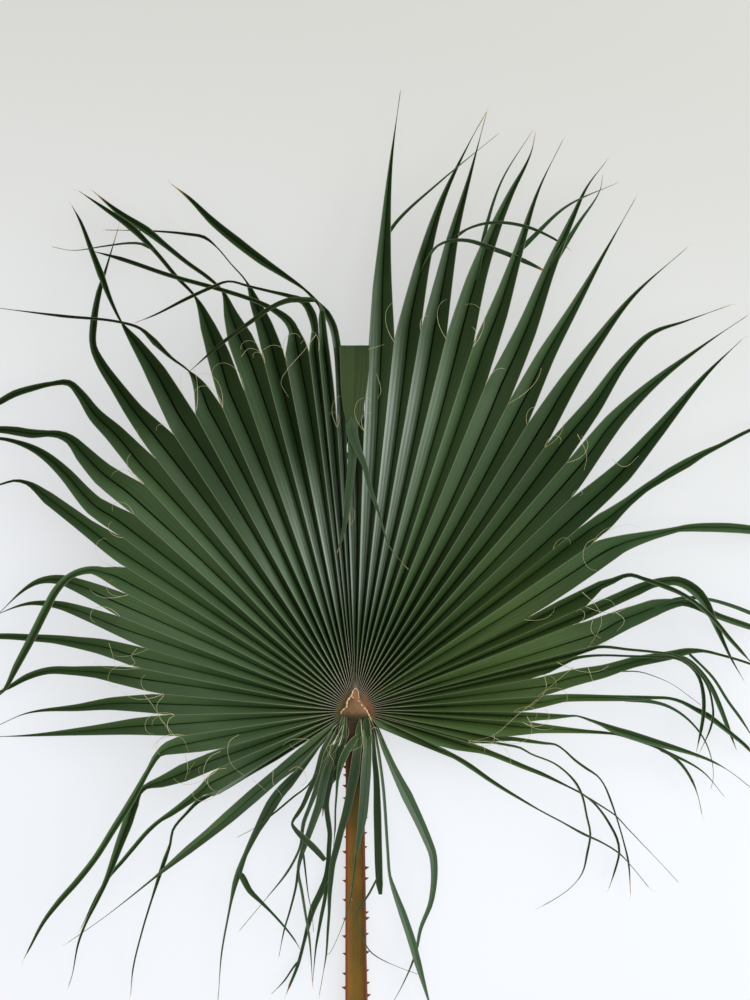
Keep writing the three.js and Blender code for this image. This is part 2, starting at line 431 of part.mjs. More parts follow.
// Height of the blade's middle surface: level round the hub, then arched
function crown(place) {
  const reach = clamp((place.length() - HUB_RADIUS) / (CROWN_RADIUS - HUB_RADIUS), 0, 1);
  return HUB_HEIGHT + CROWN_RISE * Math.sin((reach * Math.PI) / 2);
}

function ridgeHeight(place) {
  return crown(place) + RIDGE_RISE * place.length();
}

const vector = ([x, y]) => new THREE.Vector2(x, y);
const between = (a, b, share) => new THREE.Vector2().lerpVectors(a, b, share);

// Place on the line along which the ribs begin
function hubEdge(share) {
  const along = share * (HUB_EDGE.length - 1);
  const index = Math.min(Math.floor(along), HUB_EDGE.length - 2);
  return between(vector(HUB_EDGE[index]), vector(HUB_EDGE[index + 1]), along - index);
}

// Distance of a place from the line through start along a direction
function offLine(place, start, direction) {
  return Math.abs(place.clone().sub(start).cross(direction));
}

// Slope that the blade is folded to at a distance from the hub, where the ribs are evenly spread
function evenPleat(reach) {
  const steepening = smoothstep(reach, HUB_PLEAT_RADIUS, STEEPEST_PLEAT_RADIUS);
  const opening = smoothstep(reach, STEEPEST_PLEAT_RADIUS, OUTER_PLEAT_RADIUS);
  return lerp(HUB_PLEAT, STEEPEST_PLEAT, steepening) - (STEEPEST_PLEAT - OUTER_PLEAT) * opening;
}

// Depth of a pleat whose two ridges lie this far from its rib: the leaf's own width is folded into it
function pleatDepth(halfWidth, rib) {
  const reach = rib.length();
  const open = (halfWidth / (HALF_PLEAT * reach)) * Math.cos(degToRad(evenPleat(reach)));
  const slope = radToDeg(Math.acos(clamp(open, 0, 1)));
  return halfWidth * Math.tan(degToRad(clamp(slope, FLATTEST_PLEAT, STEEPEST_PLEAT)));
}

// The lines of each segment from the hub to its splits: two ridges with the rib in the valley between
const splits = [FIRST_MARGIN, ...SEGMENTS.map((segment) => segment.split)].map(vector);
const roots = splits.map((split, index) => hubEdge(index / SEGMENTS.length));

function stationsOf(segment, index) {
  const shoulder = vector(segment.path[0]);
  const ribRoot = hubEdge((index + 0.5) / SEGMENTS.length);
  const direction = shoulder.clone().sub(ribRoot).normalize();
  const clockwise = new THREE.Vector2(direction.y, -direction.x);
  const lean = PLEAT_LEAN * Math.cos(direction.angle() - PLEAT_LEAN_TOWARDS);
  const stations = [];
  for (let span = 0; span <= JOINED_SPANS; span += 1) {
    const share = span / JOINED_SPANS;
    const left = between(roots[index], splits[index], share);
    const right = between(roots[index + 1], splits[index + 1], share);
    const rib = between(ribRoot, shoulder, share);
    const nearer = Math.min(offLine(left, ribRoot, direction), offLine(right, ribRoot, direction));
    const ridge = (ridgeHeight(left) + ridgeHeight(right)) / 2;
    const height = ridge - pleatDepth(nearer, rib);
    rib.addScaledVector(clockwise, nearer * lean * Math.sin(Math.PI * share));
    stations.push({ left, rib, right, height });
  }
  return stations;
}

const segments = SEGMENTS.map((segment, index) => ({ ...segment, stations: stationsOf(segment, index) }));

// The whole blade as one sheet: every ridge is shared by two segments as far as its split
function bladeSheet() {
  const sheet = new Sheet();
  const ridges = splits.map((split, index) => {
    const line = [];
    for (let span = 0; span <= JOINED_SPANS; span += 1) {
      const place = between(roots[index], split, span / JOINED_SPANS);
      line.push(sheet.point(place, ridgeHeight(place)));
    }
    return line;
  });
  segments.forEach((segment, index) => {
    const joined = segment.stations.map((station, span) => [
      ridges[index][span],
      sheet.point(station.rib, station.height),
      ridges[index + 1][span],
    ]);
    const free = freeRows(segment).map((row) => sheet.row(row));
    sheet.plates([...joined, ...free]);
    sheet.margins([joined.at(-1), ...free]);
    sheet.rim(joined[0][0], joined[0][1]);
    sheet.rim(joined[0][1], joined[0][2]);
    sheet.end(free.at(-1));
  });
  for (let span = 0; span < JOINED_SPANS; span += 1) {
    sheet.rim(ridges[0][span + 1], ridges[0][span]);
    sheet.rim(ridges.at(-1)[span], ridges.at(-1)[span + 1]);
  }
  return sheet;
}

// A closed strip through rows of a left edge, a rib and a right edge
function stripSheet(rows) {
  const sheet = new Sheet();
  const lines = rows.map((row) => sheet.row(row));
  sheet.plates(lines);
  sheet.margins(lines);
  sheet.rim(lines[0][0], lines[0][1]);
  sheet.rim(lines[0][1], lines[0][2]);
  sheet.end(lines.at(-1));
  return sheet;
}

// Shares of a path's length at its points, and the direction across it to its left
function measure(places) {
  const lengths = [0];
  for (let index = 1; index < places.length; index += 1) {
    lengths.push(lengths[index - 1] + places[index].distanceTo(places[index - 1]));
  }
  return places.map((place, index) => {
    const before = places[Math.max(index - 1, 0)];
    const after = places[Math.min(index + 1, places.length - 1)];
    const along = after.clone().sub(before).normalize();
    return { place, share: lengths[index] / lengths.at(-1), across: new THREE.Vector2(-along.y, along.x) };
  });
}

// One row of a free strip: a shallow V with its rib at the given height
function stripRow(mark, height, halfWidth, slope) {
  const edge = height + halfWidth * Math.tan(slope);
  const left = mark.place.clone().addScaledVector(mark.across, halfWidth);
  const right = mark.place.clone().addScaledVector(mark.across, -halfWidth);
  return {
    left: { place: left, height: edge },
    rib: { place: mark.place, height },
    right: { place: right, height: edge },
  };
}

function fallingHeight(start, end, lift, share) {
  const tip = end + LEAF_DEPTH / 2;
  return start + (tip - start) * share ** FALL + lift * Math.sin(Math.PI * share);
}

// Half of a segment's width at its splits. A side with a deep split mirrors the other one.
function shoulderHalf(segment) {
  const { left, rib, right } = segment.stations.at(-1);
  const root = segment.stations[0].rib;
  const direction = rib.clone().sub(root).normalize();
  const reach = rib.distanceTo(root);
  const halves = [left, right]
    .filter((side) => side.length() > DEEP_SPLIT * rib.length())
    .map((side) => (offLine(side, root, direction) / side.clone().sub(root).dot(direction)) * reach);
  return halves.reduce((sum, half) => sum + half, 0) / halves.length;
}

// Half of the width at a point of a free strip: the width listed there, or the narrowing one
const halfWidthAt = (listed, narrowing) => Math.max(listed ? listed / 2 : narrowing, TIP_HALF_WIDTH);

// The rows of a segment beyond its splits, narrowing to its tip
function freeRows(segment) {
  const narrow = shoulderHalf(segment);
  const full = segment.width ? segment.width / 2 : narrow;
  const slope = degToRad(segment.pleat ?? FREE_PLEAT);
  const start = segment.stations.at(-1).height;
  return measure(segment.path.map(vector)).slice(1).map((mark, index) => {
    const opened = lerp(narrow, full, smoothstep(mark.share, 0, FULL_WIDTH_AT));
    const narrowing = opened * (1 - mark.share) ** (segment.taper ?? TAPER);
    const halfWidth = halfWidthAt(segment.path[index + 1][2], narrowing);
    return stripRow(mark, fallingHeight(start, segment.end, segment.lift, mark.share), halfWidth, slope);
  });
}

// A strand grows out of its parent's rib, just before the row nearest to its first point
function strandRows(strand, parentRows) {
  const first = vector(strand.path[0]);
  const gaps = parentRows.map((row) => row.rib.place.distanceTo(first));
  const nearest = Math.max(gaps.indexOf(Math.min(...gaps)), 1);
  const before = parentRows[nearest - 1];
  const after = parentRows[nearest];
  const rib = between(after.rib.place, before.rib.place, STRAND_ROOT_SHARE);
  const root = rib.add(after.left.place.clone().sub(after.rib.place).setLength(STRAND_ROOT_SHIFT));
  const start = lerp(after.rib.height, before.rib.height, STRAND_ROOT_SHARE) + STRAND_ROOT_SHIFT;
  return measure([root, ...strand.path.slice(1).map(vector)]).map((mark, index) => {
    const narrowing = (strand.width / 2) * (1 - mark.share) ** STRAND_TAPER;
    const halfWidth = halfWidthAt(strand.path[index][2], narrowing);
    const height = fallingHeight(start, strand.end, strand.lift, mark.share);
    return stripRow(mark, height, halfWidth, degToRad(STRAND_PLEAT));
  });
}

function bladeSolid() {
  const rowsByName = new Map(segments.map((segment) => [segment.name, freeRows(segment)]));
  const strands = STRANDS.map((strand) => {
    const rows = strandRows(strand, rowsByName.get(strand.of));
    rowsByName.set(strand.name, rows);
    return stripSheet(rows).solid();
  });
  return wasm.Manifold.union([bladeSheet().solid(), ...strands]);
}

// Interpolated station of the stalk at a given y
function petioleAt(y) {
  const index = PETIOLE_STATIONS.findIndex((station) => station[0] <= y);
  const upper = PETIOLE_STATIONS[index - 1];
  const lower = PETIOLE_STATIONS[index];
  const share = (upper[0] - y) / (upper[0] - lower[0]);
  const [, middle, width, under, top] = upper.map((value, column) => lerp(value, lower[column], share));
  return { middle, width, under, top };
}

function tooth(y, side) {
  const { middle, width, under, top } = petioleAt(y);
  const geometry = new THREE.ConeGeometry(TOOTH_BASE, TOOTH_LENGTH, TOOTH_SIDES);
  geometry.deleteAttribute('normal');
  geometry.deleteAttribute('uv');
  geometry.translate(0, TOOTH_LENGTH / 2 - TOOTH_SINK, 0);
  geometry.scale(1, 1, TOOTH_FLATNESS);
  geometry.rotateZ(-side * (Math.PI / 2 - TOOTH_TILT));
  geometry.translate(middle + (side * width) / 2, y, lerp(under, top, TOOTH_HEIGHT_SHARE));
  const merged = mergeVertices(geometry);
  return solidFrom(merged.attributes.position.array, merged.index.array);
}

function petioleSolid() {
  const rings = PETIOLE_STATIONS.map(([y, middle, width, under, top]) => PETIOLE_SECTION.map(
    ([across, up]) => new THREE.Vector3(middle + across * width, y, lerp(under, top, up)),
  ));
  const stalk = loft(rings, (point) => new THREE.Vector2(point.x, point.z));
  const teeth = [...TEETH_LEFT.map((y) => tooth(y, -1)), ...TEETH_RIGHT.map((y) => tooth(y, 1))];
  return wasm.Manifold.union([stalk, ...teeth]);
}

function hastulaSolid() {
  const rings = HASTULA_RINGS.map(([share, height]) => HASTULA_OUTLINE.map(([x, y]) => new THREE.Vector3(
    x * share,
    lerp(HASTULA_CENTRE_Y, y, share),
    HASTULA_SEAT + height,
  )));
  return loft(rings, (point) => new THREE.Vector2(point.x, point.y));
}

function piece(name, solid, material) {
  const mesh = new THREE.Mesh(geometryFrom(solid), material);
  mesh.name = name;
  return mesh;
}

const leafGreen = new THREE.MeshStandardMaterial({ color: 0x3c5238, roughness: 0.55, metalness: 0 });
const stalkOchre = new THREE.MeshStandardMaterial({ color: 0x7a5a24, roughness: 0.5, metalness: 0 });
const flapBrown = new THREE.MeshStandardMaterial({ color: 0x8a6a4a, roughness: 0.7, metalness: 0 });

const leaf = new THREE.Group();
leaf.add(piece('blade', bladeSolid(), leafGreen));
leaf.add(piece('petiole', petioleSolid(), stalkOchre));
leaf.add(piece('hastula', hastulaSolid(), flapBrown));
leaf.position.set(-REST_X, -REST_Y, 0);

export default leaf;
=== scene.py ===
# %% [markdown]
# # A fan palm leaf
# The leaf was cut from its palm and lies on a pale surface, upper side up. A flat toothed stalk carries a
# fan of long segments. Near the stalk they are joined and pleated like a paper fan. Further out they come
# apart, narrow to long points, bend over, tear and hang. Curly threads are left where they came apart.
#
# The solid model comes first. It fixes where everything is, and this script dresses it in finer pieces.

# %% Load the solid leaf
import json
import math
import random

import bmesh
import bpy
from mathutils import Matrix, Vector

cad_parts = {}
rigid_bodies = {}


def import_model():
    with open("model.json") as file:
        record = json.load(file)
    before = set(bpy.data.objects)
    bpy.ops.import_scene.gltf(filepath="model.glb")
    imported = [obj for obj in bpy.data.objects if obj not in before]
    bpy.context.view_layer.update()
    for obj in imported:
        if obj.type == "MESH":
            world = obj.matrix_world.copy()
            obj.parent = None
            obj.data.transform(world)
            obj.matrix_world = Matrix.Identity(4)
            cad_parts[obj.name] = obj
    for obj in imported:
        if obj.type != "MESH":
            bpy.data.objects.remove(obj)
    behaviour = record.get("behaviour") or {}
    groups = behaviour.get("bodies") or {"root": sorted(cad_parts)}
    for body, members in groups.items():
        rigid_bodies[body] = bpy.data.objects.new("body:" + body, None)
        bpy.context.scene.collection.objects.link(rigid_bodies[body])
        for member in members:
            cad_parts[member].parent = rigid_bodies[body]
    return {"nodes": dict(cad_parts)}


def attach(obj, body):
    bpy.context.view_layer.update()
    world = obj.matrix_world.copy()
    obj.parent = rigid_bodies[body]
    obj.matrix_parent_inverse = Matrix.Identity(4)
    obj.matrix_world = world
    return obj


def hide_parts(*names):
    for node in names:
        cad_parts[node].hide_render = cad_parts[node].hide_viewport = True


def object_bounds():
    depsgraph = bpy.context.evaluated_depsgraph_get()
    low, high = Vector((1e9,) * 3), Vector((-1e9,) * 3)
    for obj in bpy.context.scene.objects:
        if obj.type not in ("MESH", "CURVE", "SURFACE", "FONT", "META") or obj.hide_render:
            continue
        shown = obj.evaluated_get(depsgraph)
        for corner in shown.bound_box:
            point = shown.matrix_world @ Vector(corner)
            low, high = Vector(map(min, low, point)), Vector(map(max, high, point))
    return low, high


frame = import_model()
cad_low, cad_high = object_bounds()
print("solid pieces:", sorted(frame["nodes"]))
print("solid size:", [round(high - low, 3) for low, high in zip(cad_low, cad_high)])

# %% [markdown]
# ## Where things are
# All the ribs meet at the hub, where the stalk ends. It is easiest to give every place on the leaf in
# millimetres from that hub: +Y runs up the fan, +X to its right, and Z is the height above the surface.
# One small function turns such a place into metres in the model. Two more put finished shapes in the scene.

# %% Places measured from the hub
MM = 0.001
HUB = Vector((-0.0026, 0.372, 0.0))


def place(x, y, z):
    return Vector((x, y, z)) * MM + HUB


def add_object(name, data):
    item = bpy.data.objects.new(name, data)
    bpy.context.collection.objects.link(item)
    return item


def made_mesh(name, shape):
    mesh = bpy.data.meshes.new(name)
    shape.to_mesh(mesh)
    shape.free()
    return mesh


print("hub at", tuple(round(value, 4) for value in HUB))

# %% [markdown]
# ## Camera
# The photograph looks straight at the leaf. A long lens far above keeps the raised parts of the fan where
# they belong, because with a short lens the high bends would lean outwards.

# %% Camera straight above the leaf
CAMERA_AT = (25.2, 247.2, 5040)
LENS = 150
CLIP_END = 100

camera_data = bpy.data.cameras.new("camera")
camera_data.lens = LENS
camera_data.clip_end = CLIP_END
camera = add_object("camera", camera_data)
camera.location = place(*CAMERA_AT)
bpy.context.scene.camera = camera
print("camera height", round(camera.location.z, 2))

# %% [markdown]
# ## Nodes in few lines
# Materials are built from shader nodes, and every node takes several lines to add, set and link. A few
# helpers keep that short. `blend` mixes two colours, `stretch` turns a range of values into a smooth mask
# from 0 to 1, and `times` and `largest` combine masks.

# %% Node helpers
def add_node(tree, kind, values=None, **settings):
    node = tree.nodes.new(kind)
    for name, value in settings.items():
        setattr(node, name, value)
    for name, value in (values or {}).items():
        node.inputs[name].default_value = value
    return node


def new_finish(name, specular=0.5, **values):
    material = bpy.data.materials.new(name)
    material.use_nodes = True
    tree = material.node_tree
    shader = tree.nodes["Principled BSDF"]
    shader.inputs["Specular IOR Level"].default_value = specular
    for socket, value in values.items():
        shader.inputs[socket.replace("_", " ")].default_value = value
    return material, tree, shader


def new_group(name, inputs, outputs):
    group = bpy.data.node_groups.new(name, "ShaderNodeTree")
    for direction, sockets in (("INPUT", inputs), ("OUTPUT", outputs)):
        for socket, kind in sockets.items():
            group.interface.new_socket(socket, in_out=direction, socket_type="NodeSocket" + kind)
    return group, add_node(group, "NodeGroupInput").outputs, add_node(group, "NodeGroupOutput").inputs


def feed(tree, value, socket):
    if isinstance(value, (int, float)):
        socket.default_value = value
    elif isinstance(value, tuple):
        socket.default_value = (*value, 1.0)
    else:
        tree.links.new(value, socket)


print("node helpers ready")

# %% Helpers for values and masks
def calculate(tree, operation, *values):
    node = add_node(tree, "ShaderNodeMath", operation=operation)
    for socket, value in zip(node.inputs, values):
        feed(tree, value, socket)
    return node.outputs[0]


def times(tree, first, *others):
    for other in others:
        first = calculate(tree, "MULTIPLY", first, other)
    return first


def largest(tree, first, *others):
    for other in others:
        first = calculate(tree, "MAXIMUM", first, other)
    return first


def stretch(tree, value, low, high, start=0.0, end=1.0):
    limits = {"From Min": low, "From Max": high, "To Min": start, "To Max": end}
    node = add_node(tree, "ShaderNodeMapRange", limits, interpolation_type="SMOOTHSTEP")
    tree.links.new(value, node.inputs["Value"])
    return node.outputs["Result"]


def towards(tree, vector, direction):
    node = add_node(tree, "ShaderNodeVectorMath", operation="DOT_PRODUCT")
    node.inputs[1].default_value = direction
    tree.links.new(vector, node.inputs[0])
    return node.outputs["Value"]


print("mask helpers ready")

# %% Helpers for colours and patterns
def blend(tree, factor, first, second, kind="MIX"):
    node = add_node(tree, "ShaderNodeMix", data_type="RGBA", blend_type=kind)
    for number, value in ((0, factor), (6, first), (7, second)):
        feed(tree, value, node.inputs[number])
    return node.outputs[2]


def parts_of(tree, vector):
    node = add_node(tree, "ShaderNodeSeparateXYZ")
    tree.links.new(vector, node.inputs[0])
    return node.outputs


def clouds(tree, vector, scale, detail, roughness=0.5):
    node = add_node(tree, "ShaderNodeTexNoise", {"Scale": scale, "Detail": detail, "Roughness": roughness})
    tree.links.new(vector, node.inputs["Vector"])
    return node.outputs["Fac"]


def kept_mark(tree, name):
    return add_node(tree, "ShaderNodeAttribute", attribute_name=name).outputs["Fac"]


def emboss(tree, shader, height, strength, depth):
    bump = add_node(tree, "ShaderNodeBump", {"Strength": strength, "Distance": depth * MM})
    tree.links.new(height, bump.inputs["Height"])
    tree.links.new(bump.outputs["Normal"], shader.inputs["Normal"])


print("colour helpers ready")

# %% [markdown]
# ## Surface
# The leaf lies on a plain pale surface, a little darker towards the top: a fall of light painted into its
# colour.
# It could be lit by many lamps, but a faint glow of its own is simpler, and keeps the shadows on it soft and
# thin.

# %% Pale surface
FLOOR_HALF = 6.0
UPHILL = (0.2, 1.0, 0.0)
NEAR_PAINTED_LIGHT = (0.7, 0.715, 0.745)
FAR_PAINTED_LIGHT = (0.518, 0.517, 0.486)
PAINT_SHARE = (0.5, 0.5, 0.5)

sheet = bmesh.new()
bmesh.ops.create_grid(sheet, x_segments=1, y_segments=1, size=FLOOR_HALF)
floor = add_object("floor", made_mesh("floor", sheet))
floor_glow, tree, shader = new_finish("pale_glowing_floor", Roughness=0.85, Emission_Strength=0.9)
where = add_node(tree, "ShaderNodeTexCoord")
upwards = stretch(tree, towards(tree, where.outputs["Object"], UPHILL), 0.22, 1.3)
# painted light: darker towards the top, brighter and bluer near the bottom; the surface also glows with this
# colour
light_tint = blend(tree, upwards, NEAR_PAINTED_LIGHT, FAR_PAINTED_LIGHT)
tree.links.new(blend(tree, 1.0, light_tint, PAINT_SHARE, "MULTIPLY"), shader.inputs["Base Color"])
tree.links.new(light_tint, shader.inputs["Emission Color"])
floor.data.materials.append(floor_glow)
print("floor", floor.name)

# %% [markdown]
# ## Light
# A large window to the right lights the leaf from low down: that puts a sheen on the right-facing half of
# each fold and leaves the other half dark. The room is bright and cool on the window's side, dim and warm on
# the other. The world's colour gives that by its direction, so no second lamp is needed.

# %% Window and room
WINDOW_AT = (2.6, 1.0, 1.05)
WINDOW_SIZE = (1.8, 1.5)
WINDOW_WATTS = 44
LIT_SPOT = Vector((0.0, 0.5, 0.0))
BRIGHT_SIDE = Vector((0.86, 0.2, 0.47)).normalized()

light = bpy.data.lights.new("window_right", "AREA")
light.shape = "RECTANGLE"
light.size, light.size_y = WINDOW_SIZE
light.energy = WINDOW_WATTS
light.color = (0.95, 0.98, 1.0)
lamp = add_object("window_right", light)
lamp.location = WINDOW_AT
lamp.rotation_euler = (LIT_SPOT - lamp.location).to_track_quat("-Z", "Y").to_euler()
sky = bpy.data.worlds.new("window_room")
sky.use_nodes = True
tree = sky.node_tree
facing = towards(tree, add_node(tree, "ShaderNodeTexCoord").outputs["Generated"], BRIGHT_SIDE)
glow = blend(tree, stretch(tree, facing, -0.45, 1.0), (0.3, 0.28, 0.24), (0.95, 0.99, 1.02))
tree.links.new(glow, tree.nodes["Background"].inputs["Color"])
bpy.context.scene.world = sky
bpy.context.scene.view_settings.view_transform = "Standard"
print("light", lamp.name, WINDOW_WATTS, "watts")

# %% [markdown]
# ## How the fan is pleated
# Between two neighbouring segments the blade makes a ridge, and every segment's rib lies in the valley
# between two ridges. The hub is low, the fan arches up, and the ridges rise a little with their distance
# from the hub. The leaf's own width is folded in, so where ribs come close together the folds get steep.
# All the ribs begin along a line round the flap at the hub.

# %% Shares and curves
def lerp(first, second, share):
    return first + (second - first) * share


def clamp(value, low=0.0, high=1.0):
    return max(low, min(high, value))


def ease(value, low, high):
    share = clamp((value - low) / (high - low))
    return share * share * (3 - 2 * share)


def bend(start, stop, leave, arrive, part):
    curved = leave * part * (1 - part) ** 2 - arrive * (1 - part) * part ** 2
    return lerp(start, stop, ease(part, 0, 1)) + curved


print("half way eases to", ease(0.5, 0, 1))

# %% Heights of the fan
HUB_HEIGHT = 26
HUB_RADIUS = 30
CROWN_RISE = 30
CROWN_RADIUS = 400
RIDGE_RISE = 0.0128


def ridge_height(spot):
    outward = clamp((spot.length - HUB_RADIUS) / (CROWN_RADIUS - HUB_RADIUS))
    return HUB_HEIGHT + CROWN_RISE * math.sin(outward * math.pi / 2) + RIDGE_RISE * spot.length


print("ridge at 200 mm is", round(ridge_height(Vector((0, 200))), 1), "mm high")

# %% Depth and lean of the folds
HUB_PLEAT = 40
STEEPEST_PLEAT = 66
OUTER_PLEAT = 30
FLATTEST_PLEAT = 25
CLOSEST_PLEAT = 70
PLEAT_RADII = (12, 60, 300)
HALF_PLEAT = 0.0388
PLEAT_LEAN = 0.44
LEAN_TOWARDS = math.radians(95)


def cosine(degrees):
    return math.cos(math.radians(degrees))


def pleat_depth(half, rib):
    inner, middle, outer = PLEAT_RADII
    steep = lerp(HUB_PLEAT, STEEPEST_PLEAT, ease(rib.length, inner, middle))
    steep -= (STEEPEST_PLEAT - OUTER_PLEAT) * ease(rib.length, middle, outer)
    open_share = half / (HALF_PLEAT * rib.length) * cosine(steep)
    return half * math.tan(math.acos(clamp(open_share, cosine(CLOSEST_PLEAT), cosine(FLATTEST_PLEAT))))


def lean(along):
    return PLEAT_LEAN * along.dot(Vector((math.cos(LEAN_TOWARDS), math.sin(LEAN_TOWARDS))))


print("a pleat at 200 mm is", round(pleat_depth(6, Vector((0, 200))), 1), "mm deep")

# %% Line where the ribs begin
HUB_EDGE = [(-9, -21), (-13.5, -16), (-15.5, -10), (-13, -4), (-9.5, 2), (-6, 8.5), (-2.5, 15), (2, 20.5),
            (5.5, 14.5), (8.5, 8), (11.5, 2.5), (15, -3), (18.5, -8), (19, -14), (13, -20)]


def hub_edge(share):
    along = share * (len(HUB_EDGE) - 1)
    number = min(int(along), len(HUB_EDGE) - 2)
    return lerp(Vector(HUB_EDGE[number]), Vector(HUB_EDGE[number + 1]), along - number)


print("the middle rib begins at", tuple(round(value, 1) for value in hub_edge(0.5)))

# %% [markdown]
# ## The segments one by one
# No two segments are alike, so each is listed, clockwise from the lower left as seen from above: the split
# on its clockwise side, the height of its tip, how far its free part arches up, and the points that its
# rib passes from the splits outwards, some with the width there. Some also give the width that they open
# to, how they taper, how steeply they are folded, how far they roll to one side or their end is twisted, in
# degrees, or how much wider than the solid they are spread. Chance could scatter such segments too, but then
# it would be another leaf.

# %% Segments that hang at the lower left
SEGMENTS = []
FIRST_MARGIN = (-6, -31)


def listed(points):
    path = [Vector(point[:2]) for point in points]
    reached = [0.0]
    for before, after in zip(path, path[1:]):
        reached.append(reached[-1] + (after - before).length)
    return dict(path=path, widths=[point[2] if len(point) > 2 else 0 for point in points],
                shares=[length / reached[-1] for length in reached])


def segment(name, split, end, lift, path, width=0, taper=1.7, pleat=42, twist=0, roll=0, spread=1):
    SEGMENTS.append(dict(name=name, split=Vector(split), end=end, lift=lift, width=width, taper=taper,
                         pleat=pleat, twist=twist, roll=roll, spread=spread, **listed(path)))


segment("HL1", (-12.5, -30), 3, 0, [(-9.5, -33.5), (-13.5, -46, 6), (-18, -60, 6), (-23.5, -75, 6),
        (-28.5, -93, 6), (-31.8, -108, 5.8), (-33, -120, 5.5), (-32, -132, 5.5), (-30.5, -142, 5.5),
        (-29, -155, 5), (-30, -172, 5), (-31, -190, 5), (-33.5, -208, 6), (-41, -228, 7), (-49, -245, 7),
        (-54, -262, 5), (-60, -285, 3.5), (-68, -315, 3.5), (-78, -340, 2.5), (-82, -350)], width=10,
        pleat=15, roll=20, spread=1.2)
segment("HL2", (-17, -29), 6, 4, [(-15, -32), (-20.5, -45, 5), (-26.5, -60, 6.5), (-32, -76, 7.5),
        (-36.5, -92, 8), (-39.5, -106, 8.5), (-42.5, -120, 8), (-46, -130, 7.5), (-49.5, -140, 7),
        (-53, -150, 6.5), (-57, -161, 6), (-61.5, -174, 5), (-65.5, -187, 4), (-67.5, -200, 3),
        (-63.5, -222, 3), (-59, -250, 2.6), (-54, -282, 2.2), (-50, -340)], width=9, pleat=15, roll=-18,
        spread=1.25)
segment("HL3", (-21, -27), 10, 8, [(-19.3, -30.5), (-26.5, -43, 4), (-33, -56, 4.5), (-38.5, -70, 4.5),
        (-43, -88, 4.5), (-48.8, -108, 4.2), (-54.5, -124, 4), (-60.5, -140, 4.2), (-62.5, -152, 3.6),
        (-63.5, -165, 3), (-68, -178, 2.5), (-80, -200, 2.5), (-110, -238), (-138, -272)], width=8,
        pleat=15, roll=-10, spread=1.2)
segment("HL4", (-25, -25.5), 14, 25, [(-24, -29.5), (-32, -43, 5), (-38, -55, 5), (-41.5, -68, 5),
        (-44.5, -80, 5), (-49.5, -93, 5), (-54.5, -104, 5), (-61.5, -120, 4.5), (-68.5, -131, 4),
        (-74, -140, 2.5), (-72.5, -145, 4), (-63, -156, 6.5), (-50, -169, 7), (-42, -178, 6.5),
        (-35, -187, 5)], width=10, taper=1, pleat=15, roll=20, spread=1.2)
segment("L27", (-72, -79), 3, 0, [(-67, -82), (-79, -94, 12), (-90, -106, 13), (-99.5, -120, 14),
        (-108, -135, 12), (-116.5, -150, 8.5), (-124, -165, 7), (-131, -180, 5.5), (-138.5, -200, 7.5),
        (-143.5, -215, 6.5), (-148, -235, 3.5), (-151, -250, 2.6), (-160, -300, 2), (-164, -350),
        (-166, -370)], width=13, pleat=22)
segment("L26", (-54, -41), 5, 11, [(-66, -62), (-92, -83, 15), (-120, -107, 16), (-150, -133, 15),
        (-175, -154, 12), (-200, -174, 10), (-240, -207), (-300, -255), (-345, -287)], width=15, pleat=22)
segment("L25", (-160, -100), 4, 0, [(-160.5, -105.5), (-183, -112, 5), (-202, -130, 3.4), (-218, -150, 3),
        (-221, -166, 3), (-227.5, -185, 5), (-234, -204, 4.5), (-243.5, -233, 2.4), (-256, -274, 2),
        (-267, -319, 1.8), (-270, -350)], width=7)
segment("L24", (-162, -74), 6, 0, [(-172, -92), (-184, -102.5, 11), (-203, -117, 8.5), (-221, -130, 6.5),
        (-232, -137, 4.6), (-247, -150, 5), (-266, -172, 5), (-281, -190, 4.5), (-292.5, -203, 4),
        (-310, -230, 3), (-330, -270)])
segment("L23", (-155, -50), 3, 8, [(-170, -65), (-205, -80, 21), (-232, -91, 13), (-250, -97, 6),
        (-258, -104, 7), (-264, -117, 12), (-272, -141, 12), (-281.5, -166, 10), (-289.5, -188, 8),
        (-297.5, -209, 6), (-310, -236, 4.5), (-323, -262, 3), (-332.5, -287, 2.5), (-341, -328),
        (-345, -340)], taper=1.1)
segment("L22", (-203, -35), 5, 18, [(-205, -46), (-222, -50, 16), (-234, -57, 8), (-246, -76, 5.5),
        (-266, -112, 8), (-288, -147, 7.6), (-310, -182, 7), (-332, -210, 7), (-355, -236, 6.4),
        (-374, -261, 4.5), (-393, -296, 2), (-399, -307)], width=18)
print(len(SEGMENTS), "segments so far")

# %% Segments on the left
segment("L21", (-215, -10), 6, 0, [(-222, -22), (-260, -24), (-320, -30), (-400, -37), (-450, -39)])
segment("L20", (-228, 15), 4, 0, [(-235, 3), (-290, 3), (-330, -2), (-395, -10), (-432, -26)])
segment("L19", (-256, 46), 4, 0, [(-256, 33), (-285, 38, 20), (-310, 41, 14), (-335, 42, 10.5),
        (-368, 42, 8.5), (-394, 34, 7.5), (-417, 21, 4.5), (-440, 10)])
segment("L18", (-246, 69), 8, 0, [(-262, 60), (-300, 71, 19), (-330, 76, 14), (-360, 80, 10),
        (-387, 81.5, 8.3), (-425, 83, 7), (-460, 80)])
segment("L17", (-280, 108), 6, 0, [(-280, 94), (-345, 119), (-370, 123), (-395, 122), (-445, 103)])
segment("L16", (-270, 134), 6, 0, [(-288, 126), (-345, 150), (-365, 152), (-385, 147), (-435, 105)])
segment("L15", (-273, 167), 12, 20, [(-284, 155), (-300, 160, 14), (-314, 163.5, 9), (-338, 157, 7.5),
        (-356, 139, 9), (-368, 117, 9.5), (-387, 80, 9.5), (-406, 46, 8), (-421, 19, 4),
        (-432, 8)], taper=1.2)
segment("L14", (-276, 202), 7, 0, [(-290, 192), (-320, 215), (-368, 250, 15), (-394, 268, 5),
        (-410, 270.5, 3), (-425, 266.5, 2.4), (-445, 262)])
segment("L13", (-263, 230), 12, 6, [(-282, 222), (-310, 240), (-349, 282, 15), (-370, 300, 11),
        (-387, 310, 8), (-406, 317, 5.3), (-425, 321, 3.8), (-450, 320), (-475, 316)])
